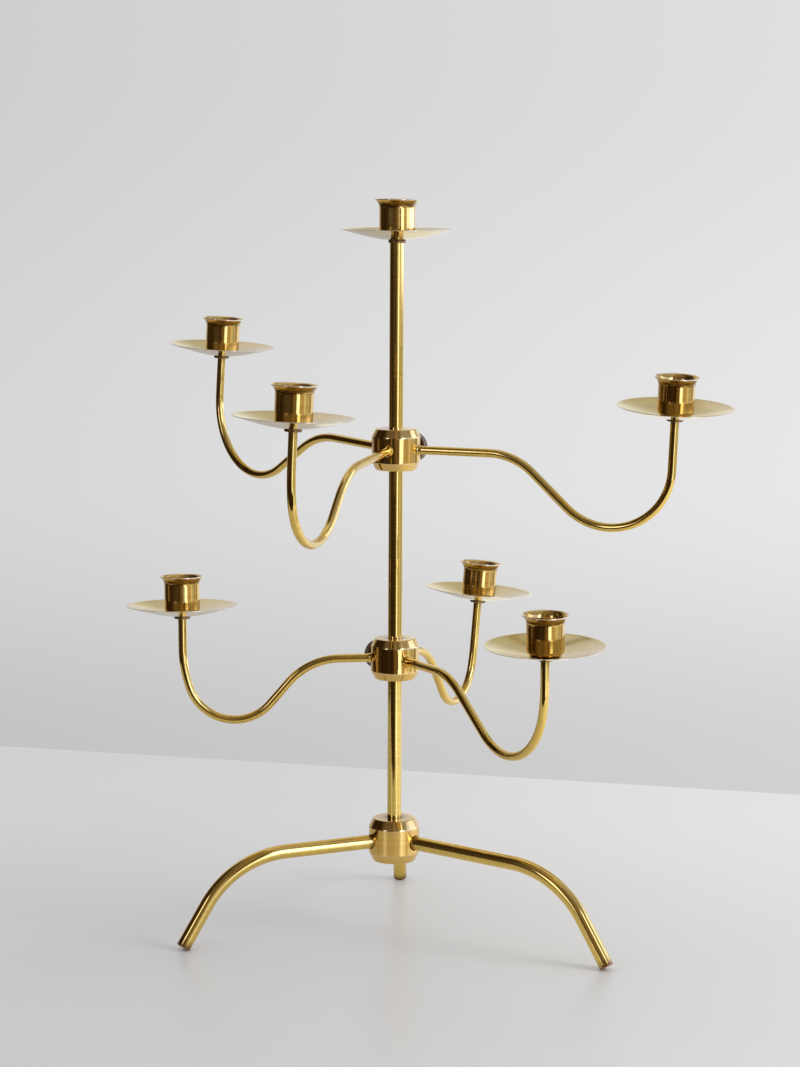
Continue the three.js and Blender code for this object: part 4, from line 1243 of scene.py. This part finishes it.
def room_world(stage):
    """Soft light for surfaces, a pale wall for the camera, and for mirrors a dim room with windows."""
    world = bpy.data.worlds.new("Room")
    tree = empty_tree(world)
    way = node(tree, "ShaderNodeTexCoord").outputs["Generated"]
    x, y, z = node(tree, "ShaderNodeSeparateXYZ", {"Vector": way}).outputs
    degree = 180 / math.pi
    azimuth = maths(tree, "MULTIPLY", maths(tree, "ARCTAN2", x, maths(tree, "MULTIPLY", y, -1.0)), degree)
    elevation = maths(tree, "MULTIPLY", maths(tree, "ARCSINE", z), degree)
    # Dark warm room with upright streaks
    streaks = node(tree, "ShaderNodeTexNoise",
                   {"W": maths(tree, "MULTIPLY", azimuth, 0.13), "Scale": 1.0, "Detail": 3.0},
                   noise_dimensions="1D").outputs["Fac"]
    light = added(tree, eased(tree, streaks, 0.45, 0.80), ROOM_STREAKS, ROOM_DARK)
    shift = eased(tree, elevation, -7.0, -1.0, 0.0, DOORWAY_SHIFT)
    light = lit_part(tree, maths(tree, "SUBTRACT", azimuth, shift), elevation, DOORWAY, light)
    for part in ROOM_LIGHTS.values():
        light = lit_part(tree, azimuth, elevation, part, light)
    # The ceiling, then the pale wall behind, from both sides, brighter beside the windows
    left_end = maths(tree, "MULTIPLY", eased(tree, azimuth, -116.0, -160.0),
                     eased(tree, elevation, -8.0, 6.0, 0.72, 1.0))
    right_end = maths(tree, "MULTIPLY", eased(tree, azimuth, 110.0, 132.0),
                      eased(tree, elevation, 8.0, 30.0, 1.0, 0.5))
    for mask, colour_rgb in ((eased(tree, elevation, 45.0, 75.0), (0.12, 0.11, 0.10)),
                             (left_end, (0.66, 0.66, 0.70)), (right_end, (0.66, 0.68, 0.74)),
                             (eased(tree, azimuth, 148.0, 166.0), (0.20, 0.18, 0.08))):
        light = added(tree, mask, colour_rgb, light)
    # The wall that the camera sees: painted light makes it brighter to the right, and a painted shadow a
    # little darker low down
    wall = maths(tree, "MULTIPLY_ADD", x, 0.62, 1.0)
    wall = node(tree, "ShaderNodeClamp", {"Value": wall, "Min": 0.80, "Max": 1.25}).outputs[0]
    wall = maths(tree, "MULTIPLY", wall, eased(tree, elevation, -12.5, -6.5, 0.80, 1.0))
    wall = maths(tree, "MULTIPLY", wall, eased(tree, elevation, -6.0, 2.0, 1.085, 1.0))
    mirrored, seen, soft = (
        node(tree, "ShaderNodeBackground", {"Color": colour_of, "Strength": strength}).outputs[0]
        for colour_of, strength in ((light, 1.0), (opaque(stage.wall), wall),
                                    (opaque((1, 1, 1)), stage.soft_light)))
    ray = node(tree, "ShaderNodeLightPath").outputs
    shown = node(tree, "ShaderNodeMixShader", {0: ray["Is Camera Ray"], 1: soft, 2: seen}).outputs[0]
    both = node(tree, "ShaderNodeMixShader", {0: ray["Is Glossy Ray"], 1: shown, 2: mirrored}).outputs[0]
    node(tree, "ShaderNodeOutputWorld", {"Surface": both})
    return world


def table_material(stage):
    """Satin white table top with a faint unevenness in its paint, painted light to the right and at the back,
    and a painted reflection for the metal, brighter to the right.
    """
    made = bpy.data.materials.new("Table paint")
    tree = empty_tree(made)
    place = node(tree, "ShaderNodeTexCoord").outputs["Object"]
    across, along, _ = node(tree, "ShaderNodeSeparateXYZ", {"Vector": place}).outputs
    # Painted light: brighter towards the windows, to the right and at the back
    painted_window_light = maths(tree, "ADD", eased(tree, across, -0.20, 0.34, 0.0, 0.5),
                eased(tree, along, -0.10, 0.40, 0.0, 0.5))
    cloud = eased(tree, noise(tree, place, 3.0, 4.0), 0.3, 0.7)
    painted_window_light = maths(tree, "MULTIPLY_ADD", cloud, -0.05, painted_window_light)
    seen = mixed(tree, painted_window_light, opaque(stage.table), opaque(stage.table, 1.30))
    # Painted reflection: the metal mirrors a table painted brighter to the right, where the windows shine on
    # it
    mirrored = mixed(tree, eased(tree, across, -0.10, 0.34), opaque(stage.table, stage.table_mirrored),
                     opaque(stage.table, stage.table_mirrored * 1.6))
    ray = node(tree, "ShaderNodeLightPath").outputs
    shader = node(tree, "ShaderNodeBsdfPrincipled",
                  {"Base Color": mixed(tree, ray["Is Glossy Ray"], seen, mirrored),
                   "Roughness": 0.34, "Specular IOR Level": 0.5})
    node(tree, "ShaderNodeOutputMaterial", {"Surface": shader.outputs[0]})
    return made


class CANDELABRA_OT_stage(CandelabraOperator, bpy.types.Operator):
    """Make the table, the light and the camera"""

    bl_idname = "candelabra.stage"
    bl_label = "Stage"

    def execute(self, context):
        scene = context.scene
        stage = scene.candelabra_stage
        scene.view_settings.view_transform = "Standard"
        scene.world = room_world(stage)
        place = rod_place() @ turned_to(TABLE_TURN)
        corners = [place @ Vector((x, y, z)) for z in (0.0, -TABLE_THICKNESS)
                   for x, y in ((TABLE_LEFT, TABLE_FRONT), (TABLE_RIGHT, TABLE_FRONT),
                                (TABLE_RIGHT, TABLE_BACK), (TABLE_LEFT, TABLE_BACK))]
        mesh = bpy.data.meshes.new("table_top")
        faces = [(0, 1, 2, 3), (7, 6, 5, 4), (0, 4, 5, 1), (1, 5, 6, 2), (2, 6, 7, 3), (3, 7, 4, 0)]
        mesh.from_pydata([tuple(corner) for corner in corners], [], faces)
        mesh.materials.append(table_material(stage))
        table = new_object("table_top", mesh)
        light = bpy.data.lights.new("window_light", "AREA")
        light.shape = "DISK"
        light.size = LAMP_SIZE
        light.energy = stage.window_power
        lamp = new_object("window_light", light)
        above = Vector((ROD_X, ROD_Y, 0.0)) + Vector(LAMP_PLACE)
        aim = (Vector(LAMP_AIM) - above).to_track_quat("-Z", "Y")
        lamp.matrix_world = Matrix.Translation(above) @ aim.to_matrix().to_4x4()
        lamp.visible_glossy = False
        camera = bpy.data.cameras.new("camera")
        camera.sensor_fit = "HORIZONTAL"
        camera.sensor_width = SENSOR_WIDTH
        camera.lens = SENSOR_WIDTH * stage.focal_pixels / PICTURE_WIDTH
        eye = new_object("camera", camera)
        eye.matrix_world = look_matrix((ROD_X, ROD_Y - stage.camera_distance, stage.camera_height),
                                       stage.camera_pitch, stage.camera_yaw, stage.camera_roll)
        scene.camera = eye
        return {"FINISHED"}


class CANDELABRA_PT_panel(bpy.types.Panel):
    bl_label = "Candelabra"
    bl_idname = "CANDELABRA_PT_panel"
    bl_space_type = "VIEW_3D"
    bl_region_type = "UI"
    bl_category = "Candelabra"

    def draw(self, context):
        layout = self.layout
        for operator in OPERATORS:
            layout.operator(operator.bl_idname)
        for group_name in SETTINGS:
            settings = getattr(context.scene, group_name)
            box = layout.box()
            for key in settings.__annotations__:
                box.prop(settings, key)


OPERATORS = (
    CANDELABRA_OT_rod,
    CANDELABRA_OT_base_hub,
    CANDELABRA_OT_legs,
    CANDELABRA_OT_tier_hubs,
    CANDELABRA_OT_thumbscrews,
    CANDELABRA_OT_arms,
    CANDELABRA_OT_lights,
    CANDELABRA_OT_stage,
)
SETTINGS = {
    "candelabra_sizes": CandelabraSizes,
    "candelabra_finish": CandelabraFinish,
    "candelabra_stage": CandelabraStage,
}
CLASSES = tuple(SETTINGS.values()) + OPERATORS + (CANDELABRA_PT_panel,)


def register():
    for cls in CLASSES:
        bpy.utils.register_class(cls)
    for name, settings in SETTINGS.items():
        setattr(bpy.types.Scene, name, PointerProperty(type=settings))


def unregister():
    for name in SETTINGS:
        delattr(bpy.types.Scene, name)
    for cls in reversed(CLASSES):
        bpy.utils.unregister_class(cls)


def main():
    register()
    bpy.ops.candelabra.stage()
    bpy.ops.candelabra.rod()
    bpy.ops.candelabra.base_hub()
    bpy.ops.candelabra.legs()
    bpy.ops.candelabra.tier_hubs()
    bpy.ops.candelabra.thumbscrews()
    bpy.ops.candelabra.arms()
    bpy.ops.candelabra.lights()


if __name__ == "__main__":
    main()
